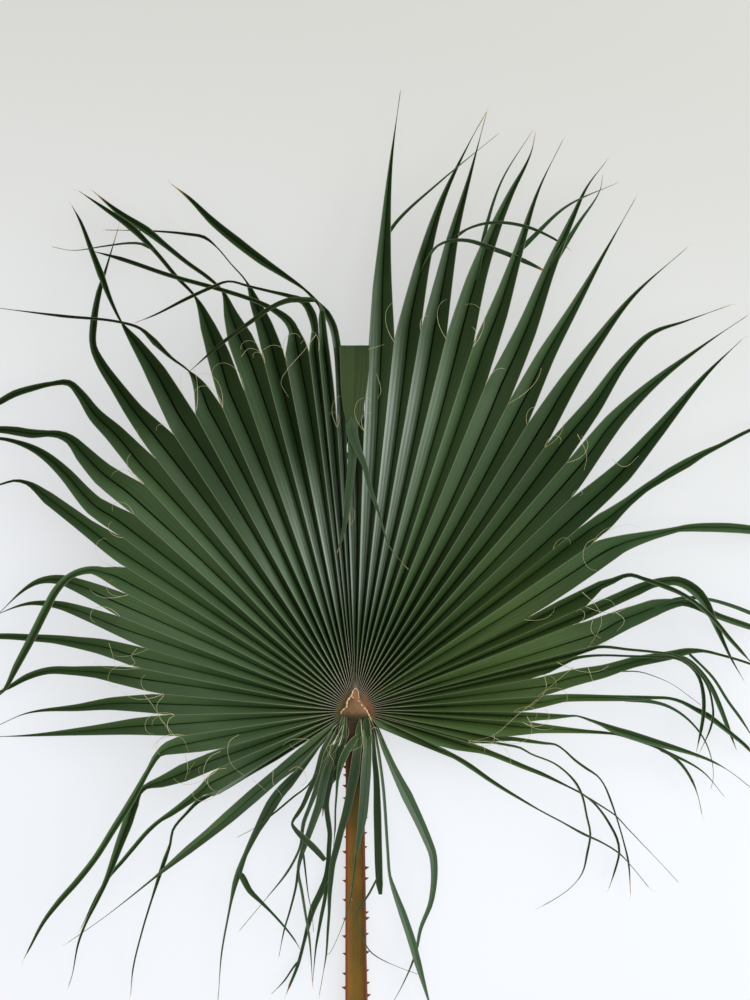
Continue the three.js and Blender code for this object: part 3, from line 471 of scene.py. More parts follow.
segment("L12", (-251, 266), 5, 0, [(-270, 255), (-300, 278), (-325, 303, 20), (-341, 320, 12),
        (-355, 326, 9), (-368, 327, 7.6), (-387, 327, 10.6), (-406, 330, 10.5), (-425, 332, 8.3),
        (-450, 332, 5), (-480, 331)], taper=1.4)
segment("L11", (-237, 297), 0, 0, [(-256, 290), (-285, 325), (-311, 350, 17), (-330, 376, 10.5),
        (-343, 388, 7.5), (-364, 387, 5.5), (-387, 382, 7.5), (-410, 375, 8.3), (-425, 367, 7.6),
        (-445, 356, 5), (-465, 345)])
print(len(SEGMENTS), "segments so far")

# %% Segments at the top left, most of them bent over
segment("L10", (-215, 325), 8, 0, [(-236, 320), (-262, 352, 22), (-285, 384, 15), (-304, 412, 11),
        (-313, 432, 8), (-313, 458, 8.5), (-307, 497, 6.5), (-300, 522, 3), (-285, 575)])
segment("L9", (-189, 349), 6, 10, [(-208, 346), (-236, 398, 25), (-263, 438, 12), (-278, 459, 2.5),
        (-291, 485, 4.5), (-304, 518, 8), (-316, 548, 6), (-330, 583, 3.5), (-341, 603)])
segment("L8", (-157, 357), 8, 20, [(-174, 356), (-184, 382, 16), (-197, 401, 2), (-218, 417, 3.5),
        (-238, 436, 7.5), (-255, 452, 3.5), (-280, 460, 3), (-350, 468, 3.5), (-430, 479)])
segment("L7", (-131, 378), 10, 0, [(-149, 376), (-162, 420, 27), (-175, 455, 18), (-190, 490, 3),
        (-213, 515, 4.5), (-240, 547, 5), (-268, 575, 8), (-300, 598, 4.5), (-332, 620)])
segment("L6", (-107, 411), 8, 0, [(-122, 408), (-136, 440, 30), (-148, 470, 16), (-158, 498, 2.5),
        (-175, 514, 4.5), (-200, 532, 5), (-225, 552, 6), (-250, 572, 9), (-285, 595, 6), (-315, 620)])
segment("L5", (-82, 417), 12, 0, [(-97, 424), (-107, 455, 20), (-119, 485, 12), (-129, 509, 2),
        (-148, 531, 1.4), (-165, 551, 1.6), (-180, 563, 4), (-200, 567, 3.5), (-240, 571, 2), (-300, 573)])
segment("L4", (-54, 424), 16, 20, [(-68, 430), (-72, 450, 12), (-79, 462, 10), (-100, 477, 6),
        (-120, 486, 5), (-160, 499, 5), (-220, 516, 5), (-280, 537, 5), (-318, 548)])
segment("L3", (-42, 425), 26, 30, [(-47, 430), (-46.5, 450, 8), (-50, 468, 10), (-60, 484, 8),
        (-75, 490, 5), (-100, 496, 3.5), (-125, 502, 3), (-150, 508, 2.5), (-170, 501, 4), (-200, 488, 4),
        (-240, 469, 2), (-262, 461)])
segment("L2", (-20, 334), 52, 40, [(-34, 424), (-37, 450, 9), (-40, 472, 8), (-46, 483, 6), (-60, 485.5, 7),
        (-75, 485.5, 6.5), (-95, 478, 5.5), (-120, 461, 5), (-160, 432, 4), (-197, 401)], twist=180)
segment("L1", (-6, 215), 12, 14, [(-14, 342), (-17, 400, 10), (-20, 430, 9), (-25, 455, 9), (-33, 471, 8),
        (-43, 483, 4), (-60, 500, 3), (-80, 514, 6), (-110, 534, 10), (-140, 557, 11), (-170, 582, 9),
        (-200, 612, 4), (-220, 628)])
segment("L0", (12, 330), 57, 0, [(2, 335), (2, 380), (1, 432)], width=20, taper=0, pleat=12)
print(len(SEGMENTS), "segments so far")

# %% Segments at the top right
segment("R0", (48, 436), 6, 0, [(33, 442), (34, 500), (37, 560), (44, 650), (56, 742)])
segment("R1", (80, 450), 8, 0, [(66, 452), (80, 520), (103, 600), (140, 680), (160, 716)])
segment("R2", (110, 440), 14, 0, [(97, 455), (118, 560), (140, 640), (160, 715)])
segment("R3", (142, 430), 8, 0, [(128, 446), (146, 510), (168, 570), (188, 615), (213, 665),
        (219, 690)], taper=1.3)
segment("R4", (157, 384), 6, 0, [(156, 430), (172, 470), (197, 545), (222, 620), (252, 682)])
segment("R5", (184, 362), 8, 0, [(176, 384), (206, 450), (235, 525), (262, 585), (281, 625),
        (305, 657)], taper=1.3)
segment("R6", (207, 337), 6, 0, [(200, 360), (230, 420), (265, 480), (300, 542), (340, 612)])
segment("R7", (228, 310), 9, 0, [(224, 334), (255, 385), (290, 435), (335, 492), (402, 552)])
segment("R8", (254, 292), 5, 0, [(247, 312), (285, 358), (325, 415), (357, 447), (400, 463), (455, 483)])
segment("R9", (260, 250), 8, 0, [(268, 285), (310, 340), (360, 388), (420, 433), (475, 470)])
print(len(SEGMENTS), "segments so far")

# %% Segments on the right, which droop
segment("R10", (238, 188), 12, 4, [(275, 238), (320, 280), (360, 325), (425, 400), (468, 441)], taper=1.3)
segment("R11", (284, 194), 4, 0, [(284, 213), (300, 222, 22), (320, 238, 14), (330, 246, 11),
        (350, 261.5, 9), (365, 271, 9.5), (380, 280.5, 11), (400, 291.5, 11), (420, 303, 7.5),
        (440, 312.5, 5), (470, 328, 4.3), (500, 341, 3), (530, 352)])
segment("R12", (204, 104), 0, 0, [(296, 183), (320, 194.5, 21), (340, 200.5, 15), (360, 205.5, 10.5),
        (380, 210, 7.7), (390, 212.3, 6.8), (400, 213.5, 8.5), (420, 214.3, 10.5), (450, 213.8, 11.5),
        (475, 211.7, 10.5), (510, 206, 7), (540, 200)])
segment("R13", (277, 120), 14, 26, [(280, 136), (295, 145, 10), (310, 150.5, 7), (322, 156, 5),
        (332, 157.5, 4.5), (345, 153.5, 4.5), (358, 149, 5.5), (374, 143, 6), (390, 136, 5),
        (405, 127, 4.5), (420, 115, 5), (435, 100, 5), (450, 82, 5), (465, 66, 4), (480, 50)], taper=1.3)
segment("R14", (262, 98), 10, 11, [(285, 114), (320, 131, 13), (340, 140, 13), (358, 147, 10),
        (375, 150, 10), (388, 150, 11), (402, 144, 12), (414, 134, 12.5), (424, 120, 10), (431, 105, 7.5),
        (438, 90, 6), (446, 73, 4), (455, 55, 2.5), (470, 30)])
segment("R15", (284, 72), 5, 0, [(288, 86), (320, 103, 26), (340, 110.5, 23), (360, 118, 20),
        (380, 122.5, 12.5), (395, 124, 8), (410, 120.5, 8.5), (425, 113.5, 8.2), (440, 107, 7.3),
        (460, 100, 7.5), (475, 95, 7), (510, 80)], taper=1.2)
segment("R16", (243, 53), 13, 12, [(270, 64), (292, 71, 3.6), (330, 68, 3), (360, 65, 3), (385, 61, 3),
        (400, 53, 3), (412, 42, 3), (420, 32, 3), (427, 18, 2.6), (431, 0, 2.6), (432, -12, 2.8),
        (429, -28, 2.6), (418, -55)], width=9)
segment("R17", (213, 33), 16, 8, [(248, 49), (262, 56.5, 4), (280, 60, 3.2), (300, 61, 2.6), (330, 60, 2.6),
        (360, 59, 3), (388, 57, 3.4), (405, 47, 3.6), (415, 33, 4), (420, 12, 4.6), (420.5, -8, 4.6),
        (418, -28, 4), (413, -55)], width=9)
segment("R18", (220, 12), 6, 0, [(230, 24), (250, 31, 21), (270, 36, 19), (300, 42, 15.5), (320, 48, 13.5),
        (340, 53.5, 12.5), (360, 57, 11.5), (380, 60.5, 10.5), (400, 65, 8), (420, 65.5, 3.8), (440, 61, 3),
        (475, 50.5, 2.8), (500, 40)], taper=1.2)
segment("R19", (191, -7), 6, 0, [(224, 4), (250, 9.5, 9.5), (270, 10, 8.5), (300, 9.5, 7.5), (340, 9, 6.5),
        (360, 9.5, 4), (380, 8.5, 3.5), (395, 4, 4), (410, -4, 5), (425, -12, 7), (440, -23, 6),
        (455, -35, 5), (475, -52, 4), (485, -65)])
print(len(SEGMENTS), "segments so far")

# %% Segments at the lower right and beside the stalk
segment("R20", (202, -19), 4, 8, [(208, -13), (222, -12.5, 9), (240, -12.5, 6.5), (258, -12, 3),
        (268, -12, 2), (282, -16.5, 3), (296, -21.5, 4.5), (310, -27.5, 8), (330, -34, 9.5),
        (350, -40.5, 9.5), (370, -46.5, 8), (390, -52.5, 6), (410, -59, 4), (430, -67, 3), (450, -78),
        (485, -105)])
segment("R21", (165, -36), 6, 0, [(205, -26), (222, -26.7, 11.5), (240, -28, 9), (260, -29.5, 6.5),
        (280, -31, 4.5), (300, -32.5, 3.5), (315, -34.5, 2.6), (340, -42, 2.6), (365, -51, 3),
        (380, -59, 3.5), (395, -72, 3.5), (408, -92, 3), (415, -110), (420, -132)])
segment("R22", (137, -41), 4, 4, [(168, -39), (190, -39.5, 5), (210, -42.2, 4.5), (230, -45, 3.2),
        (242, -46.5, 2.4), (252, -53, 2.2), (265, -65, 2.8), (280, -76, 3), (292, -84, 2), (300, -94, 1.8),
        (308, -112, 2.4), (317, -138, 1.8), (325, -165, 1.8), (331, -190, 2.4), (334, -228)], width=9)
segment("R23", (137, -44), 5, 0, [(142, -43), (165, -43.8, 2.8), (185, -47, 3), (200, -50.5, 2.6),
        (212, -57.5, 2), (240, -69, 2), (256, -81, 2.4), (268, -95, 3), (275, -110, 2.6), (280, -133, 2.4),
        (284.5, -155, 2.4), (281, -178, 2.8), (275, -203, 1.5), (262, -220), (245, -233),
        (228, -243)], width=9)
segment("R24", (101, -48), 4, 0, [(140, -50), (152, -53, 8.5), (165, -57.5, 6.5), (185, -65.5, 6.2),
        (205, -74, 5.6), (225, -82, 4.8), (240, -89, 3.5), (258, -98, 2.2), (275, -107, 2.2),
        (288, -117, 2.2), (300, -131, 2.6), (310, -147, 3), (317, -161, 3), (320, -177, 2.6),
        (315, -200, 2.4), (308, -222)], width=14)
segment("R25", (30, -27), 6, 14, [(104, -54), (120, -61, 5.5), (140, -73, 6), (160, -87, 5), (180, -100, 4),
        (200, -112, 3), (222, -125, 1.8), (250, -140, 1.8), (275, -154, 3), (300, -166, 2), (320, -179, 2),
        (335, -195), (356, -221)], width=16)
segment("H1", (26, -29), 5, 4, [(28.5, -31), (36, -50, 7), (45, -71, 8), (54, -90, 10), (63, -108, 12.5),
        (88, -162), (95, -182), (93, -235), (80, -270), (74, -300), (55, -345), (40, -370)], width=18,
        taper=1.2, pleat=15, roll=-14, spread=1.1)
segment("H2", (23.5, -30), 8, 8, [(25, -33), (28.5, -50, 3), (31.5, -70, 3), (35.5, -103, 3),
        (40.5, -175, 2.8), (43, -205, 2.8), (47, -219, 4.5), (58, -250, 7), (69, -283, 7.5),
        (77, -312, 6.5), (95, -375)], width=10, pleat=15, roll=-14, spread=1.3)
segment("H3", (21, -31), 20, -5, [(22.5, -34.5), (24, -50, 4.5), (25, -65, 6), (27, -85, 7),
        (28.5, -130, 9), (30, -190, 9), (31, -216, 8), (32, -228, 4)], width=10, taper=0.2, pleat=15,
        roll=22, spread=1.1)
segment("H4", (11.5, -31), 20, 5, [(16.5, -34), (16, -48, 10), (15, -62, 12), (13.5, -84, 13),
        (10, -131, 12), (3, -176), (-4, -225)], width=15, taper=1, pleat=15, roll=-20)
segment("H5", (2, -30), 9, 3, [(7, -34), (5, -48, 9), (3, -62, 10), (1, -80, 11), (-3, -100, 10),
        (-9, -128, 9), (-16, -152, 7.5), (-20.5, -170, 7.5), (-25.5, -190, 6.5), (-28, -210, 6),
        (-29.5, -230, 4.5), (-30, -250, 3.2), (-31.5, -270, 3), (-33.5, -300, 2), (-37, -322),
        (-42, -350)], width=13, taper=1.2, pleat=15, roll=12, spread=1.1)
print(len(SEGMENTS), "segments in all")

# %% [markdown]
# ## Rows across a segment
# A segment is a strip, so it is described by rows across it, each with a left edge, a rib and a right edge.
# In the joined part the edges are the two ridges, and neighbours get the very same points, so they can be
# welded later. In the free part the rib follows a smooth curve through its points.

# %% Rows of the joined part
SPLITS = [Vector(FIRST_MARGIN)] + [item["split"] for item in SEGMENTS]
ROOTS = [hub_edge(number / len(SEGMENTS)) for number in range(len(SPLITS))]
JOINED_ROWS = 26
CROWDING_AT_HUB = 1.2


def raised(spot, height):
    return Vector((spot.x, spot.y, height))


def off_line(spot, start, along):
    return abs((spot - start).x * along.y - (spot - start).y * along.x)


def joined_rows(number):
    shoulder = SEGMENTS[number]["path"][0]
    rib_root = hub_edge((number + 0.5) / len(SEGMENTS))
    along = (shoulder - rib_root).normalized()
    rows = []
    for step in range(JOINED_ROWS + 1):
        share = (step / JOINED_ROWS) ** CROWDING_AT_HUB
        left = lerp(ROOTS[number], SPLITS[number], share)
        right = lerp(ROOTS[number + 1], SPLITS[number + 1], share)
        rib = lerp(rib_root, shoulder, share)
        half = min(off_line(left, rib_root, along), off_line(right, rib_root, along))
        rib += Vector((along.y, -along.x)) * half * lean(along) * math.sin(math.pi * share)
        low = (ridge_height(left) + ridge_height(right)) / 2 - pleat_depth(half, rib)
        rows.append(dict(left=raised(left, ridge_height(left)), rib=raised(rib, low),
                         right=raised(right, ridge_height(right)), half=half, reach=rib.length, free=0.0,
                         root=(rib - rib_root).length, crease=1.0))
    return rows


print(len(joined_rows(30)), "rows in the joined part")

# %% Smooth trail through the points of a rib
ROW_SPACING = 7


def direction(start, stop):
    return (stop - start).normalized()


def trail(path, first_along, spacing=ROW_SPACING):
    steps = [(after - before).length for before, after in zip(path, path[1:])]
    headings = [first_along]
    for before, here, after in zip(path, path[1:], path[2:]):
        headings.append((direction(before, here) + direction(here, after)).normalized())
    headings.append(direction(path[-2], path[-1]))
    marks, done = [], 0.0
    for number, length in enumerate(steps):
        count = max(2, round(length / spacing))
        leave, arrive = headings[number:number + 2]
        for step in range(count + (number == len(steps) - 1)):
            part = step / count
            spot = bend(path[number], path[number + 1], leave * length, arrive * length, part)
            share = (done + part * length) / sum(steps)
            marks.append((spot, lerp(leave, arrive, part).normalized(), share, number + part))
        done += length
    return marks


print(len(trail(SEGMENTS[0]["path"], Vector((0, -1)))), "marks along the first rib")

# %% Shape of one free row
HALF_LEAF = 0.6
FALL = 1.3
DEEP_SPLIT = 0.6
FAR_FROM_HUB = 100.0


def folded_row(spot, height, heading, half, slope, twist):
    across = Vector((-heading.y, heading.x, 0.0))
    up = Vector((0.0, 0.0, 1.0))
    sideways = across * math.cos(twist) + up * math.sin(twist)
    upwards = up * math.cos(twist) - across * math.sin(twist)
    rib = raised(spot, height)
    rise = upwards * half * math.tan(math.radians(slope))
    return rib + sideways * half + rise, rib, rib - sideways * half + rise


def fall(start, end, lift, share):
    return start + (end + HALF_LEAF - start) * share ** FALL + lift * math.sin(math.pi * share)


def shoulder_half(rows):
    rib, root = rows[-1]["rib"].xy, rows[0]["rib"].xy
    along = direction(root, rib)
    halves = []
    for side in (rows[-1]["left"].xy, rows[-1]["right"].xy):
        if side.length > DEEP_SPLIT * rib.length:
            halves.append(off_line(side, root, along) / (side - root).dot(along) * (rib - root).length)
    return sum(halves) / len(halves)


def half_at(item, stage, share, narrowing):
    number = min(int(stage), len(item["widths"]) - 2)
    widths = item["widths"][number:number + 2]
    if not any(widths):
        return narrowing(share)
    ends = [width / 2 or narrowing(there) for width, there in zip(widths, item["shares"][number:])]
    return lerp(ends[0], ends[1], stage - number)


print("a tip half way down is", round(fall(50, 0, 10, 0.5), 1), "mm high")

# %% Rows of the free part
FULL_WIDTH_AT = 0.25
SPREAD_AT = 0.1
ROLLED_AT = 0.12
TWIST_FROM, TWIST_TO = 0.15, 0.32
CREASE_LOST_AT = 0.06
FLAT_PLEAT, CREASED_PLEAT = 12, 40
TIP_HALF = 0.35
FREE_LENGTH = 400


def free_rows(item, joined):
    narrow = shoulder_half(joined)
    full = item["width"] / 2 or narrow
    last = joined[-1]
    along = direction(joined[0]["rib"].xy, last["rib"].xy)

    def narrowing(share):
        return lerp(narrow, full, ease(share, 0, FULL_WIDTH_AT)) * (1 - share) ** item["taper"]

    rows = []
    for spot, heading, share, stage in trail(item["path"], along)[1:]:
        wider = lerp(1, item["spread"], ease(share, 0, SPREAD_AT))
        half = max(half_at(item, stage, share, narrowing) * wider, TIP_HALF)
        height = fall(last["rib"].z, item["end"], item["lift"], share)
        turned = item["roll"] * ease(share, 0, ROLLED_AT) + item["twist"] * ease(share, TWIST_FROM, TWIST_TO)
        left, rib, right = folded_row(spot, height, heading, half, item["pleat"], math.radians(turned))
        opened = min(stage, 1.0)
        kept_crease = ease(item["pleat"], FLAT_PLEAT, CREASED_PLEAT)
        rows.append(dict(left=lerp(last["left"], left, opened), rib=rib,
                         right=lerp(last["right"], right, opened), half=half,
                         reach=last["reach"] + share * FREE_LENGTH, free=share, root=FAR_FROM_HUB,
                         crease=lerp(1, kept_crease, ease(share, 0, CREASE_LOST_AT))))
    return rows


ROWS = []
for number, item in enumerate(SEGMENTS):
    joined = joined_rows(number)
    ROWS.append(joined + free_rows(item, joined))
print(sum(len(rows) for rows in ROWS), "rows in all")

# %% [markdown]
# ## From rows to leaf
# Each strip starts as a plain grid, and its points are then moved onto the rows. The grid has columns close
# to the rib and to the edges, so both stay crisp. Along with its place, every point keeps how far it is from
# the rib, how dry it is, and how close to a torn edge: the finish reads these later. A weight makes the
# leaf thinner towards tips and hub.

# %% Sheet that strips are laid into
COLUMNS = (-1.0, -0.96, -0.7, -0.4, -0.09, 0.0, 0.09, 0.4, 0.7, 0.96, 1.0)
MARKS = ("rib", "crest", "dry", "edge", "shade", "root")
WELD = 0.002 * MM
RIB_ROUNDING = 0.02
GROOVE_HALF = 0.09
GROOVE_DEPTH = 0.25
RIB_OF_FLAT_STRIP = 4
FULL_THICKNESS_HALF = 5
THINNEST = 0.15
SHORTEST_DRYING = 0.02
FIRST_ROWS = 3


def new_sheet():
    leaf = bmesh.new()
    for name in MARKS:
        leaf.verts.layers.float.new(name)
    leaf.verts.layers.deform.new()
    leaf.loops.layers.uv.new("UVMap")
    return leaf


def nearest(values, share):
    return values[round((share + 1) / 2 * (len(values) - 1))]


def set_uv(shape, faces, unrolled):
    for face in faces:
        face.smooth = True
        for corner in face.loops:
            corner[shape.loops.layers.uv.active].uv = unrolled[corner.vert]


print(len(COLUMNS), "points across a strip")

# %% Lay a strip on its rows
def cross_height(row, edge, away):
    bottom = math.hypot(away, RIB_ROUNDING) - RIB_ROUNDING
    rounded = bottom / (math.hypot(1.0, RIB_ROUNDING) - RIB_ROUNDING)
    groove = GROOVE_DEPTH * row["half"] * row["crease"] * max(0, 1 - away / GROOVE_HALF)
    return lerp(row["rib"].z, edge.z, rounded) - groove


def lay_strip(leaf, rows, shade, dry_from, turned=False):
    layers = leaf.verts.layers
    grid = bmesh.ops.create_grid(leaf, x_segments=len(COLUMNS) - 1, y_segments=len(rows) - 1, size=1.0)
    unrolled = {}
    for point in grid["verts"]:
        side = nearest(COLUMNS, point.co.x)
        row = nearest(rows, point.co.y)
        edge = row["left"] if side < 0 else row["right"]
        away, width = abs(side), (edge - row["rib"]).length
        marks = dict(rib=away * width + RIB_OF_FLAT_STRIP * (1 - row["crease"]), crest=(1 - away) * width,
                     dry=ease(row["free"], dry_from, max(1.0, dry_from + SHORTEST_DRYING)),
                     edge=1.0 if away == 1.0 and row["free"] > 0 else 0.0, shade=shade, root=row["root"])
        for name, value in marks.items():
            point[layers.float[name]] = value
        point[layers.deform.active][0] = clamp(row["half"] / FULL_THICKNESS_HALF, THINNEST, 1.0)
        point.co = place(*lerp(row["rib"], edge, away).xy, cross_height(row, edge, away))
        unrolled[point] = (side / 2 + 0.5, row["reach"] * MM)
    faces = list({face for point in grid["verts"] for face in point.link_faces})
    set_uv(leaf, faces, unrolled)
    start = rows[FIRST_ROWS]["reach"] * MM
    first = [face for face in faces if min(unrolled[point][1] for point in face.verts) < start]
    for face in first:
        face.normal_update()
    if (sum(face.normal.z for face in first) < 0) != turned:
        bmesh.ops.reverse_faces(leaf, faces=faces)


print("marks kept at every point:", ", ".join(MARKS))

# %% [markdown]
# ## Thickness
# A fan palm's leaf is stiff and about half a millimetre thick. A Solidify modifier gives the sheet its
# thickness and puts a second material on the underside, which is paler. The modifier is then applied, and
# the folds are marked sharp by their angle.

# %% Turn a sheet into a leaf of real thickness
THINNEST_SHARE = 0.1
SHARP_FOLD = math.radians(24)


def thicken(name, leaf, thickness, materials):
    mesh = made_mesh(name, leaf)
    piece = add_object(name, mesh)
    for material in materials:
        mesh.materials.append(material)
    piece.vertex_groups.new(name="thickness")
    solid = piece.modifiers.new("thickness", "SOLIDIFY")
    solid.thickness = thickness * MM
    solid.offset = 0.0
    solid.vertex_group = "thickness"
    solid.thickness_vertex_group = THINNEST_SHARE
    solid.material_offset = 1
    baked = bpy.data.meshes.new_from_object(piece.evaluated_get(bpy.context.evaluated_depsgraph_get()))
    piece.modifiers.clear()
    piece.data = baked
    bpy.data.meshes.remove(mesh)
    baked.name = name
    baked.set_sharp_from_angle(angle=SHARP_FOLD)
    print(name, len(baked.vertices), "points", len(baked.polygons), "faces")
    return piece


print("thickness helper ready")

# %% [markdown]
# ## Patterns that several finishes share
# Fine veins run along the segments and the stalk, and every tip has dried: first olive, then orange-tan, then
# straw. Several finishes need the same two patterns, so each is made once, as a node group.

# %% Vein lines as a group
VEIN_LENGTHENING = 6.0
WAVE_SHARE = 0.22

veins, given, result = new_group("vein_lines", dict.fromkeys(("Across", "Along", "Count"), "Float"),
                                 {"Lines": "Float"})
counted = times(veins, given["Across"], given["Count"])
drawn_out = add_node(veins, "ShaderNodeCombineXYZ")
veins.links.new(counted, drawn_out.inputs["X"])
veins.links.new(times(veins, given["Along"], VEIN_LENGTHENING), drawn_out.inputs["Y"])
fibres = clouds(veins, drawn_out.outputs[0], 1.0, 2.0, 0.6)
wave = calculate(veins, "SINE", times(veins, counted, math.pi * 2))
veins.links.new(calculate(veins, "ADD", times(veins, wave, WAVE_SHARE), fibres), result["Lines"])


def vein_lines(tree, unrolled, count):
    group = add_node(tree, "ShaderNodeGroup", {"Count": count}, node_tree=veins)
    tree.links.new(unrolled["X"], group.inputs["Across"])
    tree.links.new(unrolled["Y"], group.inputs["Along"])
    return group.outputs["Lines"]


print("group", veins.name)

# %% Drying as a group
DRYING = [(0.02, 0.45, (0.14, 0.13, 0.035)), (0.35, 0.75, (0.42, 0.22, 0.07)), (0.7, 1.0, (0.62, 0.48, 0.27))]

drying, given, result = new_group("dry_tips", {"Fresh": "Color", "Dryness": "Float"}, {"Colour": "Color"})
colour = given["Fresh"]
for start, end, stage_colour in DRYING:
    colour = blend(drying, stretch(drying, given["Dryness"], start, end), colour, stage_colour)
drying.links.new(colour, result["Colour"])
print("group", drying.name, "in", len(DRYING), "stages")

# %% [markdown]
# ## Regions of the fan
# One leaf isn't one green. The middle gets a painted sheen besides its gloss, some stretches are duller and
# get painted shade, the strips that hang beside the stalk get painted shade, those just right of it a painted
# bluish sheen, and the lower right is warmer. Painting that by hand would need a picture. Soft masks do it
# with numbers
# instead: each follows the direction from the hub, the distance from it, or both.

# %% Where on the fan a point lies, as a group
REGIONS = ("Distance", "Middle", "Upper", "Wide", "Dull Shade", "Hanging", "Pale", "Left", "Lower Right", "Side")

regions, given, result = new_group("fan_regions", {"Spot": "Vector"}, dict.fromkeys(REGIONS, "Float"))
spot = given["Spot"]
rightwards = towards(regions, spot, (1.0, 0.0, 0.0))
upwards = towards(regions, spot, (0.0, 1.0, 0.0))
downwards = towards(regions, spot, (0.0, -1.0, 0.0))
lower_right = towards(regions, spot, (0.8, -0.6, 0.0))
upper_left = towards(regions, spot, (-0.5, 0.87, 0.0))
turn = calculate(regions, "ARCTAN2", rightwards, upwards)
length = add_node(regions, "ShaderNodeVectorMath", operation="LENGTH")
regions.links.new(spot, length.inputs[0])
distance = length.outputs["Value"]
off_stalk = calculate(regions, "ABSOLUTE", calculate(regions, "ADD", rightwards, 0.05))


def band(value, low, high, start=0.0, end=1.0):
    return stretch(regions, value, low, high, start, end)


def around(angle, near, far):
    off = calculate(regions, "ABSOLUTE", calculate(regions, "SUBTRACT", turn, angle))
    return band(off, near, far, 1.0, 0.0)


# painted shade, and less gloss, on stretches left of the top, to the upper left, at the upper right and far
# out at the top
dull_shade = largest(regions, times(regions, around(-0.36, 0.16, 0.4), band(distance, 0.19, 0.33)),
               band(upper_left, 0.34, 0.46), times(regions, around(0.7, 0.1, 0.35), 0.65),
               times(regions, around(0.15, 0.2, 0.45), band(distance, 0.36, 0.5, 0.0, 0.75)))
masks = {
    "Distance": distance,
    "Middle": around(-0.03, 0.12, 0.4),
    "Upper": around(0.0, 0.4, 1.1),
    "Wide": around(0.0, 0.75, 1.5),
    "Dull Shade": dull_shade,
    # the strips that hang beside the stalk: painted shade on them and on their averted halves, and a painted
    # sheen on one half
    "Hanging": times(regions, band(off_stalk, 0.06, 0.12, 1.0, 0.0), band(downwards, 0.025, 0.07)),
    # painted bluish sheen on the strips just right of the stalk, below the hub
    "Pale": times(regions, band(downwards, 0.03, 0.06), band(rightwards, 0.025, 0.045),
                  band(rightwards, 0.11, 0.14, 1.0, 0.0)),
    "Left": times(regions, band(turn, -1.0, -0.6, 1.0, 0.0), band(distance, 0.16, 0.24)),
    "Lower Right": times(regions, band(lower_right, -0.12, 0.12), band(upwards, -0.09, -0.05)),
    "Side": rightwards,
}
for name, mask in masks.items():
    regions.links.new(mask, result[name])
print("group", regions.name, "with", len(masks), "masks")

# %% [markdown]
# ## Leaf finish
# The upper side is dark green and waxy, with fine veins, and pale ridge lines which turn tan where they crowd
# together at the hub; those lines are partly their own colour and partly a painted highlight. The valleys and
# the halves that face away from the light get painted shade, and the window-facing halves of the middle
# segments a painted grey sheen. The underside is duller, and torn strips have less painted sheen and less
# gloss. All three are the same leaf, so one function makes them, in steps: read the marks and regions, lay
# the greens with their painted tones, then the painted sheen, the painted shade of the folds, the ridges, the
# dried tips and the gloss.

# %% What the leaf finish reads
LEAF_VEINS = 26
LEAF_STREAKS = 7
HUNG_SHARE = 0.22


def from_hub(tree, vector):
    node = add_node(tree, "ShaderNodeMapping", {"Location": -HUB})
    tree.links.new(vector, node.inputs["Vector"])
    return node.outputs["Vector"]


def leaf_reads(tree):
    where = add_node(tree, "ShaderNodeTexCoord").outputs
    spot = from_hub(tree, where["Object"])
    region = add_node(tree, "ShaderNodeGroup", node_tree=regions)
    tree.links.new(spot, region.inputs["Spot"])
    unrolled = parts_of(tree, where["UV"])
    reads = {name: kept_mark(tree, name) for name in MARKS}
    reads.update({name: region.outputs[name] for name in REGIONS})
    reads["across"] = unrolled["X"]
    reads["veins"] = vein_lines(tree, unrolled, LEAF_VEINS)
    reads["streaks"] = vein_lines(tree, unrolled, LEAF_STREAKS)
    reads["cloud"] = clouds(tree, spot, 7.0, 3.0)
    # 1 away from the stretches of painted shade; it sets where the painted sheen and the gloss go
    reads["bright"] = calculate(tree, "SUBTRACT", 1.0, reads["Dull Shade"])
    reads["middle"] = times(tree, reads["Middle"], reads["bright"])
    reads["hung"] = times(tree, reads["Hanging"], HUNG_SHARE)
    return reads


print("the leaf finish reads", len(MARKS), "marks and", len(REGIONS), "regions")

# %% Greens of the leaf itself
def leaf_greens(tree, at, deep, light):
    mottle = calculate(tree, "ADD", times(tree, at["cloud"], 0.6), times(tree, at["shade"], 0.4))
    green = blend(tree, stretch(tree, mottle, 0.3, 0.72), deep, light)
    streaked = blend(tree, stretch(tree, at["streaks"], 0.3, 0.75, 0.5, 0.0), green, deep)
    colour = blend(tree, stretch(tree, at["veins"], 0.3, 0.8, 0.0, 0.4), streaked, light)
    warm = blend(tree, stretch(tree, at["Distance"], 0.22, 0.36), (1.22, 1.17, 0.85), (0.78, 0.86, 0.82))
    # painted shade on one half of each fold on the left and painted light on the other half
    painted_half_light = blend(tree, stretch(tree, at["across"], 0.46, 0.54), (0.86, 0.9, 0.84), (1.3, 1.3, 1.25))
    # painted shade in the dull stretches and on the hanging strips, a painted bluish sheen on the strips just
    # right of the stalk, painted shade and light on the two halves of the folds on the left; the lower right
    # is warmer
    tones = {"Lower Right": warm, "Dull Shade": (0.5, 0.54, 0.48), "Left": painted_half_light, "Pale": (1.25, 1.25, 1.7),
             "Hanging": (0.62, 0.76, 0.68)}
    for region, tone in tones.items():
        colour = blend(tree, at[region], colour, tone, "MULTIPLY")
    return colour


print("greens ready")

# %% Painted grey sheen on the window-facing halves of the middle segments and on the hanging strips
SHEEN_GREY = (0.25, 0.29, 0.24)


